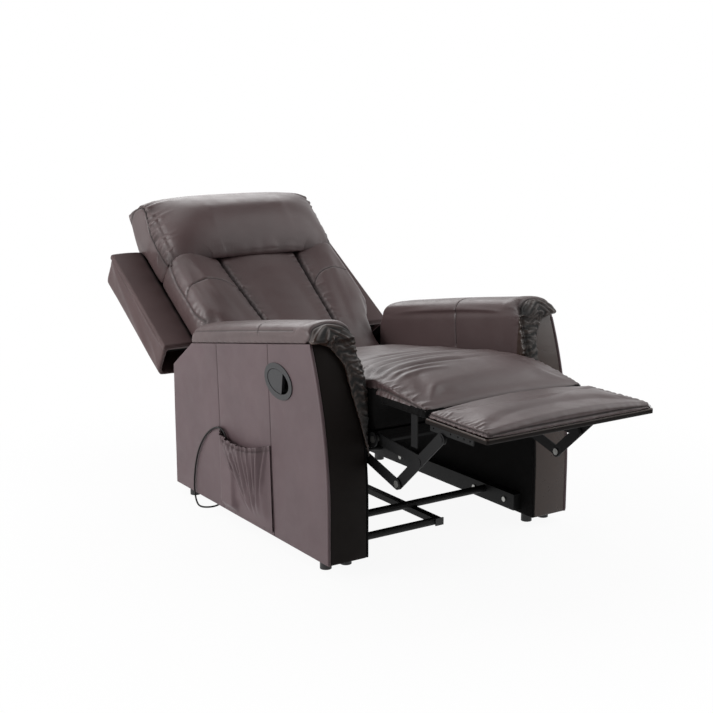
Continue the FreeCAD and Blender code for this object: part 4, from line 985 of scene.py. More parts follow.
@dataclass
class BackCushion(Pad):
    """Back cushion of three sewn panels with two stitched arcs."""

    channel_low: float = 0.104
    channel_high: float = 0.140
    channel_out: float = 0.066
    top: float = 0.474
    half_width: float = 0.3015
    lobe_rise: float = 0.028
    lobe_spread: float = 0.006
    arc: tuple[Point, ...] = (
        (293, 330, 40), (262, 346, 56), (231, 350, 66), (199, 346, 72), (169, 334, 72), (146, 316, 69), (130, 296, 67))
    gusset: tuple[Point, ...] = (
        (299, 452, 40), (300, 400, 29), (300, 350, 28), (300, 300, 28), (300, 255, 28), (299, 210, 44))

    def prepare(self, obj: Any) -> None:
        """Carries the sides down to the shell's front."""
        add_pillow(obj.data, BACK, (0, 0.336, -0.015), (self.half_width - 0.0025, 0.146, 0.040), 8)

    def blank(self) -> Any:
        """The evenly meshed copy, filled out along its sides.

        Returns:
            The object.
        """
        obj = super().blank()
        at = coordinates(obj.data)
        local = BACK.local(at)
        away = np.abs(local[:, 0])
        start = np.interp(away, (0.250, 0.268), (0.04, 0.15))
        raised = ramp(away, 0.118, 0.258) * ramp(local[:, 1] - start, 0, 0.08) * ramp(local[:, 2], 0.022, 0.050)
        turn = math.radians(BACK.degrees)
        rise = self.lobe_rise * raised
        at[:, 0] += np.sign(local[:, 0]) * self.lobe_spread * raised * ramp(local[:, 1], 0.20, 0.26)
        at[:, 1] -= rise * math.sin(turn)
        at[:, 2] += rise * math.cos(turn)
        place_vertices(obj.data, at)
        return obj

    def channel_place(self, along: Any) -> Any:
        """How far a channel lies from the middle, at one place along the back or at many."""
        return self.channel_low + (self.channel_high - self.channel_low) * np.clip(along, 0, None) / self.top

    def channel(self, side: int) -> list[Vector]:
        """The points of one sewn channel.

        Args:
            side: -1 or 1.

        Returns:
            The points, from the low end up.
        """
        places = (-0.03, 0.03, 0.10, 0.18, 0.26, 0.34, 0.42, self.top)
        return [BACK.point(side * self.channel_place(along), along, self.channel_out) for along in places]

    def held(self, places: Array) -> Array:
        """The rear, the ends and the channels are held.

        Args:
            places: The vertices' places.

        Returns:
            For each vertex, from 0, free, to 1, held.
        """
        local = BACK.local(places)
        sewn = 1 - ramp(np.abs(np.abs(local[:, 0]) - self.channel_place(local[:, 1])), 0.004, 0.016)
        rear = 1 - ramp(local[:, 2], 0.002, 0.03)
        low = 1 - ramp(local[:, 1], 0.0, 0.05)
        high = ramp(local[:, 1], self.top - 0.02, self.top)
        return np.maximum.reduce([sewn * (local[:, 2] > 0.03), rear, low, high])

    def shape(self, relief: Relief) -> None:
        """Channels with puckers, arcs, and gathers along the side seams.

        Args:
            relief: The cushion's surface.
        """
        for number, side in enumerate((-1, 1)):
            channel = relief.line(self.channel(side))
            relief.groove(channel, depth=0.013, width=0.0065)
            relief.gather(channel, height=0.0030, pitch=0.022, reach=0.028, seed=11 + number, dark=0.6)
            relief.gather(channel, height=0.0020, pitch=0.0145, reach=0.013, seed=15 + number, dark=0.9)
            arc = relief.line(BACK.points(self.arc, side))
            relief.groove(arc, depth=0.0026, width=0.0026, dark=0.9)
            relief.gather(arc, height=0.0012, pitch=0.016, reach=0.014, seed=21 + number, dark=0.1)
            gusset = relief.line(BACK.points(self.gusset, side))
            relief.groove(gusset, depth=0.003, width=0.004, dark=0.8)
            relief.gather(gusset, height=0.0016, pitch=0.019, reach=0.030, seed=31 + number, dark=0.4)
            stitch(f"back_arc_stitches_{Side(side).name.lower()}", [relief.sunk(arc, depth=0.0026)], self.body)


@dataclass
class Headrest(Pad):
    """Rolled headrest, gathered into a seam at each end."""

    half_width: float = 0.300
    end_power: float = 3.1
    seam: tuple[Point, ...] = (
        (299, 744, -30), (299, 740, 40), (298, 712, 78), (299, 680, 84), (300, 650, 70), (300, 609, 46),
        (300, 545, 34), (299, 490, 30), (292, 462, 28))
    lower_edge: tuple[Point, ...] = (
        (-286, 468, 24), (-242, 464, 40), (-182, 460, 62), (-100, 456, 82), (0, 452, 90), (100, 452, 90),
        (182, 460, 66), (242, 464, 42), (286, 468, 24))
    corner: tuple[Point, ...] = ((292, 490, 34), (276, 476, 40), (246, 468, 52), (210, 462, 60))

    @staticmethod
    def section(mesh: Any, count: int = 96) -> tuple[Vector, Array]:
        """The outline half way across, as its middle and one radius for each of a ring of directions.

        Args:
            mesh: The mesh of the CAD solid.
            count: How many directions.

        Returns:
            The middle, and the radii.
        """
        with edited(mesh, keep=False) as work:
            cut = bmesh.ops.bisect_plane(
                work, geom=work.verts[:] + work.edges[:] + work.faces[:], plane_co=(0.004, 0, 0), plane_no=(1, 0, 0))
            ends = [item for item in cut["geom_cut"] if isinstance(item, bmesh.types.BMEdge)]
            steps = np.array([
                edge.verts[0].co.lerp(edge.verts[1].co, share) for edge in ends for share in np.linspace(0, 1, 12)])
        local = BACK.local(steps)[:, 1:]
        middle = (local.min(axis=0) + local.max(axis=0)) / 2
        away = local - middle
        slot = np.round(np.arctan2(away[:, 1], away[:, 0]) / (2 * np.pi) * count).astype(int) % count
        radii = np.array([
            np.linalg.norm(away[slot == n], axis=1).max() if (slot == n).any() else np.nan for n in range(count)])
        known = np.nonzero(~np.isnan(radii))[0]
        radii = np.interp(np.arange(count), known, radii[known], period=count)
        for _ in range(3):
            radii = np.maximum(radii, (np.roll(radii, 1) + np.roll(radii, -1)) / 2)
        return middle, radii

    def prepare(self, obj: Any) -> None:
        """Draws the roll out full to its ends, and fills them down to the back's side seams.

        Args:
            obj: The copy of the CAD solid.
        """
        middle, radii = self.section(obj.data)
        turns = np.arange(len(radii)) / len(radii) * 2 * np.pi
        seam_u, seam_w = np.array([[point[1] * MM, point[2] * MM] for point in reversed(self.seam)]).T
        half = self.half_width - 0.002
        rings = []
        for x in half * np.sin(np.linspace(-np.pi / 2, np.pi / 2, 49)):
            share = max(0.0, 1 - (abs(x) / half) ** self.end_power) ** (1 / self.end_power)
            u = middle[0] + radii * np.cos(turns) * (0.94 + 0.06 * share)
            w = middle[1] + radii * np.sin(turns)
            level = np.interp(u, seam_u, seam_w)
            rings.append([
                BACK.point(x, pu, low + (pw - low) * share if pw > low else pw)
                for pu, pw, low in zip(u, w, level)])
        with edited(obj.data) as work:
            rows = [[work.verts.new(point) for point in ring] for ring in rings]
            for row, after in zip(rows, rows[1:]):
                for n in range(len(row)):
                    m = (n + 1) % len(row)
                    work.faces.new((row[n], row[m], after[m], after[n]))
            work.faces.new(rows[0])
            work.faces.new(list(reversed(rows[-1])))
        add_pillow(obj.data, BACK, (0, 0.590, -0.012), (self.half_width - 0.0015, 0.132, 0.043), 8)

    def held(self, places: Array) -> Array:
        """The underside and the end seams are held.

        Args:
            places: The vertices' places.

        Returns:
            For each vertex, from 0, free, to 1, held.
        """
        local = BACK.local(places)
        under = 1 - ramp(local[:, 2], 0.0, 0.03)
        tucked = (1 - ramp(local[:, 1], 0.476, 0.5)) * (1 - ramp(local[:, 2], 0.05, 0.085))
        ends = ramp(np.abs(local[:, 0]), self.half_width - 0.012, self.half_width - 0.002)
        return np.maximum.reduce([under, tucked, ends])

    def shape(self, relief: Relief) -> None:
        """Gathers from the end seams, and small tucks along the lower edge.

        Args:
            relief: The headrest's surface.
        """
        seams = []
        out = BACK.local(relief.at)[:, 2]
        for number, side in enumerate((-1, 1)):
            seam = relief.line(BACK.points(self.seam, side))
            before = relief.push.copy()
            relief.groove(seam, depth=0.0045, width=0.0045)
            relief.gather(seam, height=0.0062, pitch=0.0165, reach=0.062, seed=41 + number, hand=-side, dark=0.8)
            relief.gather(seam, height=0.0030, pitch=0.0100, reach=0.032, seed=43 + number, hand=-side, dark=0.6)
            relief.gather(seam, height=0.0008, pitch=0.0200, reach=0.020, seed=45 + number, hand=side, dark=0.2)
            relief.push = before + (relief.push - before) * (0.15 + 0.85 * ramp(out, 0.020, 0.070))
            seams.append(relief.sunk(seam, depth=0.003))
            corner = relief.line(BACK.points(self.corner, side))
            relief.gather(corner, height=0.0046, pitch=0.020, reach=0.036, seed=51 + number, dark=0.6)
        edge = relief.line(BACK.points(self.lower_edge))
        relief.gather(edge, height=0.0018, pitch=0.045, reach=0.04, seed=61, dark=0.2)
        stitch("headrest_stitches", seams, self.body)


@dataclass
class ShellWing:
    """Padded front of the shell beside the back cushion, from the cushion's side out to the shell's edge."""

    side: Side
    low: float = 0.2095
    high: float = 0.6425
    outer: float = 0.3985
    inner: float = 0.2975
    face: float = -0.0455
    bulge: float = 0.0035
    depth: float = 0.016
    edge_radius: float = 0.004
    ripple_height: float = 0.0007
    ripple_reach: float = 0.03
    shade: float = 0.95
    shade_reach: float = 0.007
    rows: int = 150
    columns: int = 36

    def build(self) -> Any:
        """Makes the wing.

        Returns:
            The finished object.
        """
        sign = self.side.value
        along = np.linspace(self.low, self.high, self.rows + 1)
        across = np.linspace(self.outer, self.inner, self.columns + 1)
        u, x = np.meshgrid(along, across, indexing="ij")
        edge = np.minimum(np.minimum(u - self.low, self.high - u), self.outer - x)
        radius = self.edge_radius
        rounding = radius * (1 - np.sqrt(1 - (1 - np.clip(edge / radius, 0, 1)) ** 2))
        swell = self.bulge * np.sin(np.pi * np.clip((self.outer - x) / (self.outer - self.inner), 0, 1)) ** 0.6
        ripple = self.ripple_height * np.sin(u * 95 + 5 * x) * bell(x, self.inner, self.ripple_reach)
        out = self.face + swell + ripple - rounding
        places = list(zip(x.ravel(), u.ravel(), out.ravel()))
        top = [BACK.point(sign * px, pu, pw) for px, pu, pw in places]
        foot = [BACK.point(sign * px, pu, self.face - self.depth) for px, pu, _ in places]
        wide = self.columns + 1
        count = len(top)
        faces = []
        for quad in grid_faces(self.rows, self.columns):
            faces += [quad, tuple(count + n for n in reversed(quad))]
        last = self.rows * wide
        ring = (
            [column for column in range(self.columns)] + [row * wide + self.columns for row in range(self.rows)]
            + [last + column for column in range(self.columns, 0, -1)]
            + [row * wide for row in range(self.rows, 0, -1)])
        for here, there in zip(ring, ring[1:] + ring[:1]):
            faces.append((here, there, count + there, count + here))
        name = f"back_shell_wing_{self.side.name.lower()}"
        mesh = bpy.data.meshes.new(name)
        mesh.from_pydata([tuple(v) for v in top + foot], [], faces)
        with edited(mesh) as work:
            bmesh.ops.recalc_face_normals(work, faces=work.faces)
        dark = np.concatenate([self.shade * bell(x, self.inner, self.shade_reach).ravel(), np.zeros(count)])
        store_crease_shade(mesh, dark)
        mesh.shade_smooth()
        obj = new_object(name, mesh)
        dress(obj, Finish.SHELL)
        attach(obj, "back")
        LOG.info("%s: %d faces", name, len(mesh.polygons))
        return obj


@dataclass
class SeatCover(Pad):
    """Seat cushion and leg pad under one cover, which bends at the crease between them."""

    crease_y: float = -0.400
    crease_z: float = 0.426
    bend_before: float = 0.045
    bend_after: float = 0.035
    slope_start: float = -0.530
    slope_end: float = -0.604
    slope_floor: float = 0.436
    slope_fall: float = 0.20
    broad_swell: float = 0.007

    def prepare(self, obj: Any) -> None:
        """Bridges the crease inside the foam, so that the cover is one piece.

        Args:
            obj: The copy of the CAD solids.
        """
        low = LEVEL.point(-0.2535, self.crease_y - 0.012, self.crease_z + 0.004)
        high = LEVEL.point(0.2535, self.crease_y + 0.012, self.crease_z + 0.052)
        with edited(obj.data) as work:
            for vertex in bmesh.ops.create_cube(work, size=1)["verts"]:
                vertex.co = Vector((low[i] if vertex.co[i] < 0 else high[i]) for i in range(3))

    def blank(self) -> Any:
        """The evenly meshed copy, drawn down towards the footrest's crease.

        Returns:
            The object.
        """
        obj = super().blank()
        at = coordinates(obj.data)
        fall = self.slope_fall * ramp(-(at[:, 1] - SHIFT_Y), -self.slope_start, -self.slope_end)
        above = np.maximum(at[:, 2] - self.slope_floor, 0)
        at[:, 2] -= above * fall
        place_vertices(obj.data, at)
        return obj

    def line(self, obj: Any) -> None:
        """Black lining cloth on the underside, and on the sides as painted shade between the arms.

        Args:
            obj: The cover.
        """
        def lining_and_shade(middles: Array, normals: Array) -> Array:
            """Which faces get the black cloth: the underside, and the sides as painted shade.

            Args:
                middles: The faces' middles.
                normals: The faces' normals.

            Returns:
                True for each face that is.
            """
            local = SEAT.local(middles)
            low = np.where(middles[:, 1] - SHIFT_Y < self.crease_y, middles[:, 2] < 0.447, local[:, 2] < 0.106)
            return low | (normals[:, 2] < -0.5)

        dress_part(obj, Finish.LINING, lining_and_shade)

    def held(self, places: Array) -> Array:
        """The underside and the side seams are held."""
        front = places[:, 1] - SHIFT_Y < self.crease_y
        return np.where(
            front, 1 - ramp(places[:, 2], 0.428, 0.436), 1 - ramp(SEAT.local(places)[:, 2], 0.06, 0.10))

    def shape(self, relief: Relief) -> None:
        """Long soft folds across the crease, and gathers along the leg pad's sides.

        Args:
            relief: The cover's surface.
        """
        across = ramp(relief.at[:, 1] - SHIFT_Y, self.crease_y - 0.16, self.crease_y - 0.02) * (
            1 - ramp(relief.at[:, 1] - SHIFT_Y, self.crease_y - 0.01, self.crease_y + 0.06))
        relief.swell(across * ramp(relief.out[:, 2], 0.3, 0.8), self.broad_swell)
        folds = (
            (((-235, 262, 136), (-120, 236, 146), (10, 224, 148), (150, 226, 146), (235, 236, 136)), 0.0050, 0.020),
            (((-245, 150, 136), (-140, 176, 146), (-10, 172, 148), (120, 150, 146)), 0.0045, 0.016),
            (((-250, 78, 134), (-150, 112, 144), (-20, 112, 148), (110, 84, 146), (225, 66, 136)), 0.0070, 0.017),
            (((-250, 30, 132), (-180, 56, 142), (-60, 66, 146), (70, 46, 144)), 0.0050, 0.012),
            (((-250, -2, 128), (-200, 10, 138), (-110, 14, 142), (20, 4, 140)), 0.0045, 0.011),
            (((-250, -34, 118), (-190, -26, 128), (-90, -26, 132), (20, -40, 128)), 0.0040, 0.011),
            (((-252, -70, 110), (-205, -56, 122), (-140, -52, 126), (-60, -62, 124)), 0.0030, 0.010),
            (((60, 300, 146), (150, 280, 144), (235, 286, 134)), 0.0040, 0.018),
        )
        for rows, height, width in folds:
            relief.fold(relief.line(SEAT.points(rows)), height=height, width=width)
        edges = []
        for number, side in enumerate((-1, 1)):
            edge = relief.line(
                LEVEL.points([(254, -398, 462), (254, -430, 464), (254, -520, 458), (254, -600, 452)], side))
            relief.groove(edge, depth=0.0025, width=0.004, dark=0.7)
            relief.gather(edge, height=0.0034, pitch=0.015, reach=0.030, seed=71 + number, dark=0.35)
            edges.append(relief.sunk(edge, depth=0.0018))
        stitch("leg_pad_stitches", [edge[12:] for edge in edges], "leg_rest")

    def attach(self, obj: Any) -> None:
        """Bakes the cover's place into its mesh and leaves it on no body.

        Args:
            obj: The cover.
        """
        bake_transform(obj)


@dataclass
class FootPad(Pad):
    """Footrest pad with gathered sides and a seam round its edge."""

    def held(self, places: Array) -> Array:
        """The underside is held."""
        return 1 - ramp(places[:, 2], 0.4335, 0.442)

    def shape(self, relief: Relief) -> None:
        """Gathers along the sides, wrinkles at the corners, and a seam round the edge.

        Args:
            relief: The pad's surface.
        """
        seams = []
        for number, side in enumerate((-1, 1)):
            edge = relief.line(LEVEL.points([(254, y, 444) for y in (-610, -660, -710, -760, -800, -832)], side))
            relief.groove(edge, depth=0.002, width=0.0035, dark=0.7)
            relief.gather(edge, height=0.0030, pitch=0.014, reach=0.034, seed=81 + number, dark=0.35)
            seams.append(relief.sunk(edge, depth=0.0015))
            fold = relief.line(LEVEL.points([(245, -628, 452), (205, -650, 462), (150, -660, 466)], side))
            relief.fold(fold, height=0.0025, width=0.010)
        front = relief.line(LEVEL.points([(x, -836, 444) for x in range(-250, 251, 100)]))
        relief.groove(front, depth=0.002, width=0.0035, dark=0.7)
        relief.gather(front, height=0.0012, pitch=0.03, reach=0.022, seed=85, dark=0.1)
        seams.append(relief.sunk(front, depth=0.0015))
        stitch("footrest_stitches", seams, self.body)


@dataclass
class FootBoard(Pad):
    """Leather-wrapped board under the footrest pad, with a welt along its edge."""

    def shape(self, relief: Relief) -> None:
        """A welt along the board's upper edge.

        Args:
            relief: The board's surface.
        """
        rows = [(-254, -612, 431), (-254, -832, 431), (254, -832, 431), (254, -612, 431)]
        corners = LEVEL.points(rows)
        path = []
        for start, end in zip(corners, corners[1:]):
            count = round((end - start).length / 0.006)
            path.extend(start.lerp(end, step / count) for step in range(count))
        path.append(corners[-1])
        TRIMS.lay("footrest_welt", Trim.PIPING, [np.array(path)], self.body, Finish.ROLL, WELT)


@dataclass
class BackShell(Pad):
    """Padded shell behind the back cushion, sewn along its front edge."""

    half_width: float = 0.400
    low: float = 0.208
    high: float = 0.644
    front: float = -0.045

    def held(self, places: Array) -> Array:
        """Only the broad outer faces are free to swell.

        Args:
            places: The vertices' places.

        Returns:
            For each vertex, from 0, free, to 1, held.
        """
        local = BACK.local(places)
        inside = (np.abs(local[:, 0]) < self.half_width - 0.012) & (local[:, 1] < self.high - 0.012) & (
            local[:, 2] > -0.163)
        rim = ramp(local[:, 2], self.front - 0.012, self.front - 0.004)
        return np.maximum(inside.astype(float), rim)

    def shape(self, relief: Relief) -> None:
        """A seam along each side and the top of the front edge.

        Args:
            relief: The shell's surface.
        """
        edge = self.half_width - 0.003
        rows = [
            (-edge, self.low + 0.004), (-edge, 0.35), (-edge, 0.5), (-edge, self.high - 0.004),
            (-0.2, self.high - 0.003), (0.2, self.high - 0.003),
            (edge, self.high - 0.004), (edge, 0.5), (edge, 0.35), (edge, self.low + 0.004)]
        runs = [rows[0:4], rows[3:7], rows[6:10]]
        seams = []
        for run in runs:
            seam = relief.line([BACK.point(x, u, self.front - 0.008) for x, u in run])
            relief.groove(seam, depth=0.0015, width=0.003, dark=0.7)
            seams.append(relief.sunk(seam, depth=0.0008))
        stitch("back_shell_stitches", seams, self.body)


@dataclass
class ArmPad(Pad):
    """Arm pad: a smooth crown, a side band, and a gathered roll down the arm's front."""

    outer: float = 0.393
    front_bulge: float = 0.012
    seam_front: tuple[float, float] = (-0.315, 0.573)
    seam_rear: tuple[float, float] = (0.325, 0.468)
    roll_line: tuple[Point, ...] = (
        (340, -236, 628), (338, -290, 624), (334, -335, 606), (326, -362, 578), (310, -378, 540), (298, -388, 490),
        (290, -396, 430), (283, -402, 370), (278, -408, 310), (275, -410, 268))

    def seam_height(self, y: Any) -> Any:
        """Height of the seam under the pad, at one place along the arm or at many."""
        share = (y - self.seam_front[0]) / (self.seam_rear[0] - self.seam_front[0])
        return self.seam_front[1] + share * (self.seam_rear[1] - self.seam_front[1])

    def blank(self) -> Any:
        """The evenly meshed copy, filled out at the roll's inner front.

        Returns:
            The object.
        """
        obj = super().blank()
        mesh = obj.data
        at = coordinates(mesh)
        normals = rows_of(mesh.vertices, "normal")
        facing = np.clip(-self.side.value * normals[:, 0] * 0.75 - normals[:, 1] * 0.66, 0, 1)
        y = at[:, 1] - SHIFT_Y
        fade = ramp(at[:, 2], 0.30, 0.47) * (1 - ramp(at[:, 2], 0.49, 0.56)) * ramp(-y, 0.30, 0.36)
        place_vertices(mesh, at + normals * (self.front_bulge * facing * fade)[:, None])
        return obj

    def held(self, places: Array) -> Array:
        """The lower run and the outer seam are held."""
        return 1 - ramp(places[:, 2] - self.seam_height(places[:, 1] - SHIFT_Y), 0.004, 0.02)

    def shape(self, relief: Relief) -> None:
        """The band's seam, the cross seam, the gathered roll and the tucks at its edge.

        Args:
            relief: The pad's surface.
        """
        side = self.side.value
        seed = 100 + self.side.value * 3
        band = [
            LEVEL.point(side * (self.outer - 0.002), y, self.seam_height(y) + 0.038)
            for y in (0.315, 0.24, 0.16, 0.08, 0.0, -0.08, -0.16, -0.22)]
        band_line = relief.line(band)
        relief.groove(band_line, depth=0.0022, width=0.0036, dark=0.55)
        relief.gather(band_line, height=0.0008, pitch=0.06, reach=0.018, seed=seed, dark=0.05)
        cross = [
            (268, -52, 460), (265, -48, 500), (266, -46, 545), (275, -44, 575),
            (300, -42, 584), (340, -40, 588), (375, -44, 580), (391, -60, 562)]
        cross_line = relief.line(LEVEL.points(cross, side))
        relief.groove(cross_line, depth=0.002, width=0.0035, dark=0.5)
        start = [
            (394, -306, 572), (393, -316, 596), (384, -312, 612), (362, -304, 618),
            (330, -298, 624), (296, -308, 618), (270, -322, 596)]
        start_line = relief.line(LEVEL.points(start, side))
        relief.groove(start_line, depth=0.0045, width=0.005, dark=0.95)
        roll = relief.line(LEVEL.points(self.roll_line, side))
        y = relief.at[:, 1] - SHIFT_Y
        before = relief.push.copy()
        dark = relief.crease.copy()
        relief.gather(roll, height=0.0060, pitch=0.0195, reach=0.085, seed=seed + 1, lean=0.75, dark=1.7)
        relief.gather(roll, height=0.0020, pitch=0.0115, reach=0.070, seed=seed + 2, lean=0.5, dark=1.1)
        inner = relief.line(LEVEL.points([
            (272, -340, 590), (268, -362, 556), (265, -378, 520), (264, -384, 480), (264, -388, 440),
            (264, -392, 400)], side))
        relief.gather(inner, height=0.0036, pitch=0.0145, reach=0.045, seed=seed + 5, lean=0.2, dark=1.4)
        front = ramp(-y, 0.296, 0.322) * ramp(-relief.out[:, 1] + relief.out[:, 2] * 0.8, 0.0, 0.35)
        relief.push = before + (relief.push - before) * front
        relief.crease = dark + (relief.crease - dark) * front
        edge = [(266, -325, 596), (266, -345, 560), (266, -358, 520), (266, -368, 480), (266, -380, 430)]
        edge_line = relief.line(LEVEL.points(edge, side))
        relief.groove(edge_line, depth=0.002, width=0.004, dark=0.6)
        relief.gather(edge_line, height=0.0022, pitch=0.014, reach=0.030, seed=seed + 3, dark=0.5)
        stitch(f"arm_pad_stitches_{self.side.name.lower()}", [relief.sunk(cross_line, depth=0.0016)], self.body)

    def line(self, obj: Any) -> None:
        """The roll's darker leather as painted shade, from the gathers' start to its lower end.

        Args:
            obj: The pad.
        """
        def rolled(middles: Array, normals: Array) -> Array:
            """Which faces are the roll's.

            Args:
                middles: The faces' middles.
                normals: The faces' normals.

            Returns:
                True for each face that is.
            """
            out = np.abs(middles[:, 0])
            start = np.interp(out, (0.268, 0.296, 0.330, 0.362, 0.384, 0.393), (322, 308, 298, 304, 312, 314))
            return middles[:, 1] - SHIFT_Y < -start * MM

        dress_part(obj, Finish.ROLL, rolled)


# Flat upholstered panels

@dataclass
class Panel:
    """Leather drawn over a hardboard panel, worked from its CAD solid."""

    name: str
    nodes: tuple[str, ...]
    finish: Finish
    rounding: float
    spacing: float
    seams: tuple[tuple[float, float], ...] = ()
    seam_ends: tuple[float, float] = (0.034, 0.565)
    seam_depth: float = 0.0018
    seam_width: float = 0.0016
    hollow_depth: float = 0.0006
    hollow_width: float = 0.012
    pillow: float = 0.0
    corner: float = 0.0
    corner_from: float = 0.389
    body: str = "root"
    slot: str = "leather"
    far_finish: Optional[Finish] = None

    def round_and_cut(self, work: Any) -> None:
        """Rounds the panel's edges, and cuts its faces small enough for the relief.

        Args:
            work: The editable mesh.
        """
        bmesh.ops.dissolve_limit(work, angle_limit=math.radians(0.5), verts=work.verts, edges=work.edges)
        sharp = [e for e in work.edges if len(e.link_faces) == 2 and e.calc_face_angle(0) > math.radians(40)]
        bmesh.ops.bevel(
            work, geom=sharp, offset=self.rounding, segments=4, profile=0.5, affect="EDGES", clamp_overlap=True)
        low = Vector(min(v.co[i] for v in work.verts) for i in range(3))
        high = Vector(max(v.co[i] for v in work.verts) for i in range(3))
        cuts = [((0, place, 0), (0, 1, 0)) for place in np.arange(low.y + self.spacing, high.y, self.spacing)]
        cuts += [((0, 0, place), (0, 0, 1)) for place in np.arange(low.z + self.spacing, high.z, self.spacing)]
        foot, head = self.seam_ends
        for start, end in self.seams:
            normal = Vector((0, head - foot, start - end)).normalized()
            cuts += [
                ((0, start + SHIFT_Y + step * MM, foot), normal) for step in (-7, -4, -2.2, -1, 0, 1, 2.2, 4, 7)]
        for place, normal in cuts:
            bmesh.ops.bisect_plane(
                work, geom=work.verts[:] + work.edges[:] + work.faces[:], plane_co=place, plane_no=normal)
        bmesh.ops.triangulate(work, faces=[f for f in work.faces if len(f.verts) > 4])
        bmesh.ops.recalc_face_normals(work, faces=work.faces)

    def build(self) -> Any:
        """Makes the panel.

        Returns:
            The finished object.
        """
        obj = merged_copy(self.name, self.nodes)
        with edited(obj.data) as work:
            if self.corner:
                self.roll_corner(BVHTree.FromBMesh(work), max(v.co.x for v in work.verts))
            self.round_and_cut(work)
        relief = Relief(obj.data)
        self.shape(relief)
        relief.finish(-0.003, 0.003)
        dress(obj, self.finish)
        if self.far_finish:
            dress_part(obj, self.far_finish, lambda middles, normals: middles[:, 0] > 0)
        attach(obj, self.body)
        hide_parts(*self.nodes)
        LOG.info("%s: %d faces", self.name, len(obj.data.polygons))
        return obj

    def roll_corner(self, tree: Any, right: float) -> None:
        """Lays a rolled edge down the panel's front corner.

        Args:
            tree: The panel's faces.
            right: The panel's farthest place to the right.
        """
        side = 1 if right > 0 else -1
        path = []
        for z in np.arange(0.034, 0.566, 0.004):
            hit = tree.ray_cast(Vector((side * self.corner_from, -1, z)), Vector((0, 1, 0)))[0]
            if hit is not None:
                path.append((side * (self.corner_from + 0.001 - self.corner * 0.62), hit.y + self.corner * 0.62, z))
        TRIMS.lay(
            f"{self.name}_corner", Trim.PIPING, [np.array(path)], self.body, self.finish,
            {"Pitch": 0.005, "Radius": self.corner})

    def shape(self, relief: Relief) -> None:
        """Upright seams with a slight hollow, and faint waves in the leather.

        Args:
            relief: The panel's surface.
        """
        y = relief.at[:, 1] - SHIFT_Y
        facing = np.abs(relief.out[:, 0]) > 0.9
        foot, head = self.seam_ends
        for start, end in self.seams:
            away = np.abs(y - start - (end - start) * (relief.at[:, 2] - foot) / (head - foot))
            seam = self.seam_depth * bell(away, width=self.seam_width)
            relief.push -= facing * (seam + self.hollow_depth * bell(away, width=self.hollow_width))
            # Painted shade along each seam's line.
            relief.crease = np.maximum(relief.crease, facing * 0.85 * bell(away, width=0.0013))
        z = relief.at[:, 2]
        wave = np.sin(y * 23 + np.sin(z * 11) * 1.2) * np.sin(z * 17 + 0.7) * 0.5 + np.sin(y * 9 - z * 7) * 0.5
        relief.swell(facing * wave, self.pillow)


# Pocket

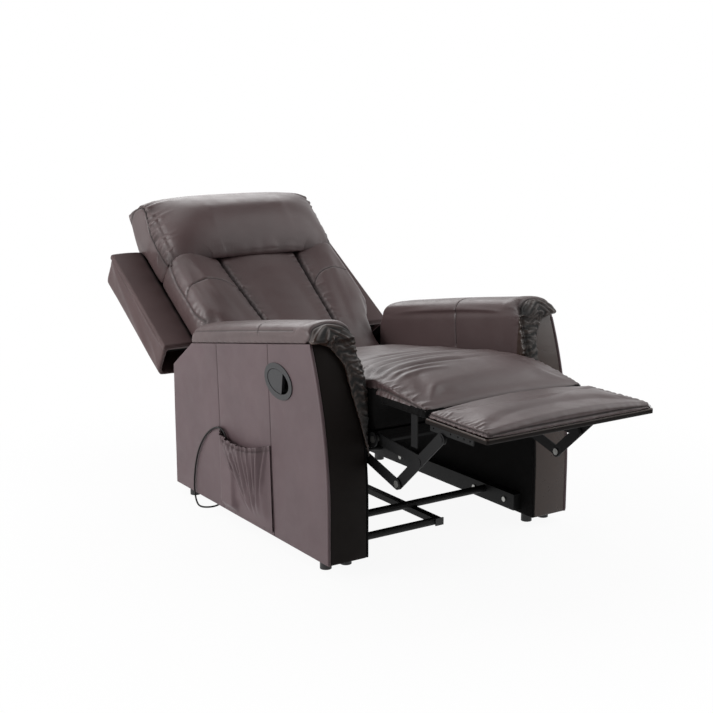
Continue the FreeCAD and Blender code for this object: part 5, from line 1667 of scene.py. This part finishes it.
@dataclass
class Pocket:
    """Leather pocket on the arm's outer panel, gathered on elastic at its mouth."""

    rear: float = 0.165
    front: float = -0.118
    low: float = 0.038
    face: float = 0.390
    bulge: float = 0.0245
    thickness: float = 0.0018
    handset: tuple[float, float, float, float] = (0.070, 0.122, 0.064, 0.206)
    handset_out: float = 0.0202
    gathers: int = 30
    gather_height: float = 0.0024
    gather_width: float = 0.0027
    hem_drop: float = 0.055
    hem_width: float = 0.012
    hem_depth: float = 0.0022
    columns: int = 150
    rows: int = 90
    mouth: tuple[tuple[float, float], ...] = (
        (0.165, 0.262), (0.125, 0.250), (0.086, 0.243), (0.045, 0.240), (0.001, 0.243), (-0.050, 0.252),
        (-0.085, 0.262), (-0.118, 0.272))
    folds: tuple[tuple[float, float, float, float, float], ...] = (
        # top y, foot y, height, half width, lowest point as a share of the pocket's height
        (0.124, -0.028, 0.0050, 0.0075, 0.35), (0.092, -0.024, 0.0085, 0.0085, 0.08),
        (0.062, -0.026, 0.0060, 0.0070, 0.28), (0.029, -0.016, 0.0090, 0.0085, 0.14),
        (0.004, -0.030, 0.0060, 0.0065, 0.32), (-0.026, -0.034, 0.0080, 0.0080, 0.06),
        (-0.056, -0.040, 0.0060, 0.0070, 0.26), (-0.084, -0.046, 0.0085, 0.0085, 0.10),
        (-0.106, -0.060, 0.0055, 0.0060, 0.30))

    def drape(self) -> tuple[Array, Array, Array, Array]:
        """How the leather hangs, as grids from the low hem up and from the rear forwards.

        Returns:
            Each point's place along the arm, distance from the panel, height and painted shade.
        """
        across = np.linspace(self.rear, self.front, self.columns + 1)
        up = np.linspace(0, 1, self.rows + 1)
        draw = np.random.default_rng(5)
        tops = np.interp(-across, [-y for y, _ in self.mouth], [z for _, z in self.mouth])
        y, t = np.meshgrid(across, up)
        leaned = y - (1 - t) * np.interp(y, (self.front, self.rear), (0.010, 0.013))
        top = np.tile(tops, (self.rows + 1, 1))
        z = self.low + (top - self.low) * t
        edge = np.minimum(ramp(self.rear - y, 0, 0.040), ramp(y - self.front, 0, 0.040))
        swell = ramp(t, 0, 0.30) * 0.55 + ramp(t, 0.25, 1.0) * 0.45
        out = 0.0022 + self.bulge * 0.74 * edge * swell
        y_low, y_high, z_low, z_high = self.handset
        beside = np.hypot(
            np.maximum(np.maximum(y_low - leaned, leaned - y_high), 0),
            np.maximum(np.maximum(z_low - z, z - z_high), 0))
        bump = self.handset_out * (1 - ramp(beside, 0.001, 0.030))
        out = np.maximum(out, bump) + 0.0015 * bell(out, bump, 0.004)
        # Painted shade beside the folds, under the gathers, in the hem and along the sewn edges.
        shade = np.zeros_like(out)
        for top_y, foot_y, height, width, lowest in self.folds:
            middle = foot_y + (top_y - foot_y) * t
            run = ramp(t, lowest, lowest + 0.35) * (0.75 + 0.25 * t)
            wide = width * (0.75 + 0.5 * (1 - t))
            place = (y - middle) / wide
            out += edge * run * height * (bell(place) - 0.5 * bell(place, 1.4, 0.7))
            shade = np.maximum(shade, run * 0.55 * bell(place, 1.35, 0.5))
        crests = np.linspace(self.rear - 0.008, self.front + 0.008, self.gathers)
        crests += draw.uniform(-0.0025, 0.0025, self.gathers)
        gathers = sum((0.6 + 0.4 * draw.random()) * bell(y, crest, self.gather_width) for crest in crests)
        near_top = bell(1 - t, width=0.10)
        out += edge * near_top * self.gather_height * (gathers - 0.5)
        shade = np.maximum(shade, near_top * np.clip(0.55 - gathers, 0, 1) * 0.8)
        hem = bell(1 - t, self.hem_drop, self.hem_width)
        out -= edge * hem * self.hem_depth
        shade = np.maximum(shade, hem * 0.5)
        sewn = 1 - np.minimum(ramp(self.rear - y, 0, 0.002), ramp(y - self.front, 0, 0.002)) * ramp(t, 0, 0.01)
        shade = np.maximum(shade, sewn * 0.15)
        z = z - near_top * 0.0016 * np.clip(0.6 - gathers, 0, 1)
        return leaned, np.clip(out, 0.0021, self.bulge + 0.002), z, shade

    def build(self) -> Any:
        """Makes the pocket.

        Returns:
            The finished object.
        """
        y, out, z, shade = self.drape()
        mesh = bpy.data.meshes.new("side_pocket_leather")
        vertices = np.stack([-(self.face + out), y + SHIFT_Y, z], 2).reshape(-1, 3)
        mesh.from_pydata(vertices.tolist(), [], grid_faces(self.rows, self.columns))
        store_crease_shade(mesh, shade)
        obj = new_object("side_pocket_leather", mesh)
        with edited(mesh) as work:
            if sum(f.normal.x for f in work.faces) > 0:
                bmesh.ops.reverse_faces(work, faces=work.faces)
        wall = obj.modifiers.new("wall", "SOLIDIFY")
        wall.thickness = self.thickness
        wall.offset = -1
        wall.use_rim = True
        applied(obj)
        obj.data.shade_smooth()
        dress(obj, Finish.PANEL)
        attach(obj, "root")
        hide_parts("side_pocket")
        LOG.info("side pocket: %d faces", len(obj.data.polygons))
        return obj


# Cord

@dataclass
class HandsetCord:
    """Limp cord from the handset, over the pocket's mouth, along the floor and into the control box."""

    diameter: float = 0.005
    length: float = 0.804
    route: tuple[Point, ...] = (
        (-399.5, 96, 204.3), (-399.5, 104, 242.3), (-399, 142, 267), (-395, 208, 244), (-395, 256, 206),
        (-395, 289, 162), (-395, 308, 118), (-395, 319, 72), (-396, 318, 30), (-403, 290, 3.5), (-406, 254, 3),
        (-373, 238, 3), (-333, 262, 3), (-277, 276, 3), (-235, 310, 3.5), (-212, 335, 30), (-200, 336, 78),
        (-181, 326, 101), (-156, 325, 101))

    def build(self) -> Any:
        """Makes the cord.

        Returns:
            The finished curve.
        """
        curve = bpy.data.curves.new("handset_cord_line", "CURVE")
        curve.dimensions = "3D"
        spline = curve.splines.new("NURBS")
        points = LEVEL.points(self.route)
        spline.points.add(len(points) - 1)
        for held, point in zip(spline.points, points):
            held.co = (*point, 1)
        spline.order_u = 3
        spline.use_endpoint_u = True
        spline.resolution_u = 10
        curve.bevel_depth = self.diameter / 2
        curve.bevel_resolution = 3
        curve.use_fill_caps = True
        obj = new_object("handset_cord_line", curve)
        dress(obj, Finish.CORD)
        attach(obj, "root")
        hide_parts("handset_cord")
        LOG.info("handset cord: %d route points", len(points))
        return obj


# Hard parts

SLOT_FINISHES: dict[str, Finish] = {
    "leather": Finish.PANEL, "padding": Finish.CUSHION, "timber": Finish.LINING, "black_steel": Finish.BLACK_STEEL,
    "bright_steel": Finish.BRIGHT_STEEL, "nylon": Finish.NYLON, "grey_plastic": Finish.GREY_PLASTIC,
    "black_plastic": Finish.BLACK_PLASTIC, "cord_rubber": Finish.CORD, "webbing": Finish.WEBBING}


def dress_hard_parts() -> None:
    """Gives every CAD node the finish of its material slot."""
    for name, node in sorted(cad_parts.items()):
        slot = node.data.materials[0].name.split(".")[0] if node.data.materials else "black_steel"
        finish = SLOT_FINISHES[slot]
        for index in range(len(node.data.materials)):
            node.data.materials[index] = material_of(finish)
        LOG.info("%s: %s", name, finish.value.name)


# Studio

def aimed(name: str, data: Any, place: Vector, aim: Vector) -> Any:
    """A lamp or a camera, turned to its aim.

    Args:
        name: Its name.
        data: Its light or camera data.
        place: Where it stands.
        aim: What it points at.

    Returns:
        The object.
    """
    obj = new_object(name, data)
    obj.location = place
    obj.rotation_mode = "QUATERNION"
    obj.rotation_quaternion = (aim - place).to_track_quat("-Z", "Y")
    return obj


@dataclass(frozen=True)
class Lamp:
    """A soft round light, with its width in metres and its power in watts."""

    name: str
    place: tuple[float, float, float]
    aim: tuple[float, float, float]
    width: float
    power: float

    def build(self) -> None:
        """Hangs the light and turns it to its aim."""
        data = bpy.data.lights.new(self.name, "AREA")
        data.shape = "DISK"
        data.size = self.width
        data.energy = self.power
        aimed(self.name, data, Vector(self.place), Vector(self.aim))


LAMPS = (
    Lamp("side_light", (-3.8, 1.0, 1.6), aim=(-0.2, 0.0, 0.4), width=2.7, power=120.0),
    Lamp("top_light", (-0.9, 1.4, 3.4), aim=(0.0, -0.1, 0.4), width=2.9, power=40.0),
    Lamp("front_light", (2.1, -1.0, 2.6), aim=(0.0, 0.5, 0.6), width=4.2, power=74.0),
    Lamp("rear_light", (0.9, 3.2, 2.6), aim=(0.0, -0.1, 0.4), width=2.7, power=40.0))


@dataclass
class Studio:
    """White floor and backdrop, soft lights and the camera."""

    lens: float = 66.42
    eye: tuple[float, float, float] = (-2.0233, -2.9825, 1.2088)
    aim: tuple[float, float, float] = (-0.0437, 0.0, 0.4464)
    ambient: float = 0.35

    def camera(self) -> None:
        """The camera at the photograph's viewpoint."""
        data = bpy.data.cameras.new("camera")
        data.lens = self.lens
        data.sensor_width = 36
        bpy.context.scene.camera = aimed("camera", data, LEVEL.point(*self.eye), LEVEL.point(*self.aim))

    @staticmethod
    def seen_share(tree: Any) -> Any:
        """1 for camera, glossy and transmission rays.

        Args:
            tree: The node tree.

        Returns:
            The output socket.
        """
        path = add(tree, "ShaderNodeLightPath", {})
        first = add(
            tree, "ShaderNodeMath", {"operation": "MAXIMUM"},
            {0: path.outputs["Is Camera Ray"], 1: path.outputs["Is Glossy Ray"]})
        both = add(
            tree, "ShaderNodeMath", {"operation": "MAXIMUM"},
            {0: first.outputs["Value"], 1: path.outputs["Is Transmission Ray"]})
        return both.outputs["Value"]

    def floor(self) -> None:
        """A white paper floor that keeps the chair's soft shadow."""
        mesh = bpy.data.meshes.new("floor")
        half = 12.0
        mesh.from_pydata([(-half, -half, 0), (half, -half, 0), (half, half, 0), (-half, half, 0)], [], [(0, 1, 2, 3)])
        obj = new_object("floor", mesh)
        material, tree, surface, place = new_material("white_paper")
        diffuse = add(tree, "ShaderNodeBsdfDiffuse", {"Color": linear("#F4F4F4")})
        glow = add(tree, "ShaderNodeEmission", {"Color": (1, 1, 1, 1), "Strength": 1.0})
        away = add(tree, "ShaderNodeVectorMath", {"operation": "LENGTH"}, {0: place}).outputs["Value"]
        part = add(
            tree, "ShaderNodeMapRange", {"From Min": 0.9, "From Max": 1.5, "To Min": 0.93, "To Max": 1.0},
            {"Value": away})
        share = add(
            tree, "ShaderNodeMath", {"operation": "MULTIPLY"}, {0: self.seen_share(tree), 1: part.outputs["Result"]})
        mixed = add(
            tree, "ShaderNodeMixShader", {},
            {0: share.outputs["Value"], 1: diffuse.outputs["BSDF"], 2: glow.outputs["Emission"]})
        tree.links.new(mixed.outputs["Shader"], surface)
        mesh.materials.append(material)

    def world(self) -> None:
        """White all round for what is seen, dimmer for what it lights."""
        world = bpy.data.worlds.new("studio")
        world.use_nodes = True
        tree = world.node_tree
        tree.nodes.clear()
        way = add(tree, "ShaderNodeTexCoord", {}).outputs["Generated"]
        axes = add(tree, "ShaderNodeSeparateXYZ", {}, {"Vector": way}).outputs
        above = add(
            tree, "ShaderNodeMapRange", {"From Min": 0.42, "From Max": 0.85, "To Min": 1.0, "To Max": 0.12},
            {"Value": axes["Z"]})
        behind = add(
            tree, "ShaderNodeMapRange", {"From Min": -0.9, "From Max": 0.2, "To Min": 0.35, "To Max": 1.0},
            {"Value": axes["Y"]})
        seen = add(
            tree, "ShaderNodeMath", {"operation": "MULTIPLY"},
            {0: above.outputs["Result"], 1: behind.outputs["Result"]})
        lit = add(tree, "ShaderNodeMath", {"operation": "MULTIPLY", 1: self.ambient}, {0: seen.outputs["Value"]})
        path = add(tree, "ShaderNodeLightPath", {})
        glossy = add(
            tree, "ShaderNodeMath", {"operation": "MAXIMUM"},
            {0: path.outputs["Is Glossy Ray"], 1: path.outputs["Is Transmission Ray"]})
        level = add(
            tree, "ShaderNodeMix", {"data_type": "FLOAT"},
            {0: glossy.outputs["Value"], 2: lit.outputs["Value"], 3: seen.outputs["Value"]})
        dim = add(tree, "ShaderNodeBackground", {"Color": (1, 1, 1, 1)}, {"Strength": level.outputs[0]})
        white = add(tree, "ShaderNodeBackground", {"Color": (1, 1, 1, 1), "Strength": 1.0})
        mixed = add(
            tree, "ShaderNodeMixShader", {},
            {0: path.outputs["Is Camera Ray"], 1: dim.outputs["Background"], 2: white.outputs["Background"]})
        output = add(tree, "ShaderNodeOutputWorld", {})
        tree.links.new(mixed.outputs["Shader"], output.inputs["Surface"])
        bpy.context.scene.world = world

    def lights(self) -> None:
        """Soft round lights: on the near side, overhead, on the far side and behind."""
        for lamp in LAMPS:
            lamp.build()

    def build(self) -> None:
        """Makes the studio."""
        self.camera()
        self.floor()
        self.world()
        self.lights()
        bpy.context.scene.view_settings.view_transform = "Standard"
        LOG.info("studio: camera, floor, world and lights")


def upholstery() -> list[Any]:
    """The leather pieces in the order in which they are made.

    Returns:
        The builders of the pieces.
    """
    pads: list[Any] = [
        BackCushion(
            "back_cushion_cover", ("back_cushion",), "back", Finish.CUSHION, voxel=0.0065, swelling=0.012, fill=0.7,
            smoothing=8, easing=14),
        Headrest(
            "headrest_cover", ("headrest_roll",), "back", Finish.CUSHION, voxel=0.006, swelling=0.008, fill=0.8,
            smoothing=10),
        BackShell(
            "back_shell_cover", ("back_shell",), "back", Finish.SHELL, voxel=0.006, swelling=0.004, fill=0.4,
            start_smaller=0.0, pressure=2.0, frames=8, smoothing=4, subdivide=False),
        SeatCover(
            "seat_cover", ("seat_cushion", "leg_pad"), "seat", Finish.CUSHION, voxel=0.007, swelling=0.008, fill=0.6,
            smoothing=5, easing=12),
        FootPad(
            "footrest_pad_cover", ("footrest_pad",), "footrest", Finish.CUSHION, voxel=0.0045, swelling=0.005,
            fill=0.6),
        FootBoard(
            "footrest_board_cover", ("footrest_board",), "footrest", Finish.FRONT, voxel=0.003, swelling=0.0,
            fill=0.2, subdivide=False),
    ]
    for side in Side:
        name = side.name.lower()
        pads += [
            ShellWing(side),
            ArmPad(
                f"arm_pad_cover_{name}", (f"arm_pad_{name}",), "root", Finish.CUSHION, voxel=0.005, swelling=0.003,
                fill=0.6, side=side, smoothing=7),
            Panel(
                f"arm_side_leather_{name}", (f"arm_outer_panel_{name}",), Finish.PANEL, rounding=0.0008,
                spacing=0.014, seams=((0.150, 0.181), (-0.131, -0.106)), pillow=0.0006, corner=0.0046),
        ]
    pads += [
        # One leather on both fronts: the near front painted near black as shade, the far front painted lighter in the
        # roll's leather, where more light falls.
        Panel(
            "arm_front_leather", ("arm_front_panels",), Finish.FRONT, rounding=0.0025, spacing=0.014,
            far_finish=Finish.ROLL),
        Panel("arm_rear_leather", ("arm_rear_panels",), Finish.PANEL, rounding=0.0025, spacing=0.02),
        # The arms' inner sides get the near-black lining cloth as painted shade, for the dark between the arms and the
        # seat.
        Panel("arm_inner_leather", ("arm_inner_panels",), Finish.LINING, rounding=0.0025, spacing=0.03),
    ]
    return pads


def main() -> None:
    """Builds the chair's pieces in order."""
    logging.basicConfig(level=logging.INFO, format="%(message)s")
    Studio().build()
    HandsetCord().build()
    dress_hard_parts()
    for piece in upholstery():
        piece.build()
    Pocket().build()


if __name__ == "__main__":
    main()
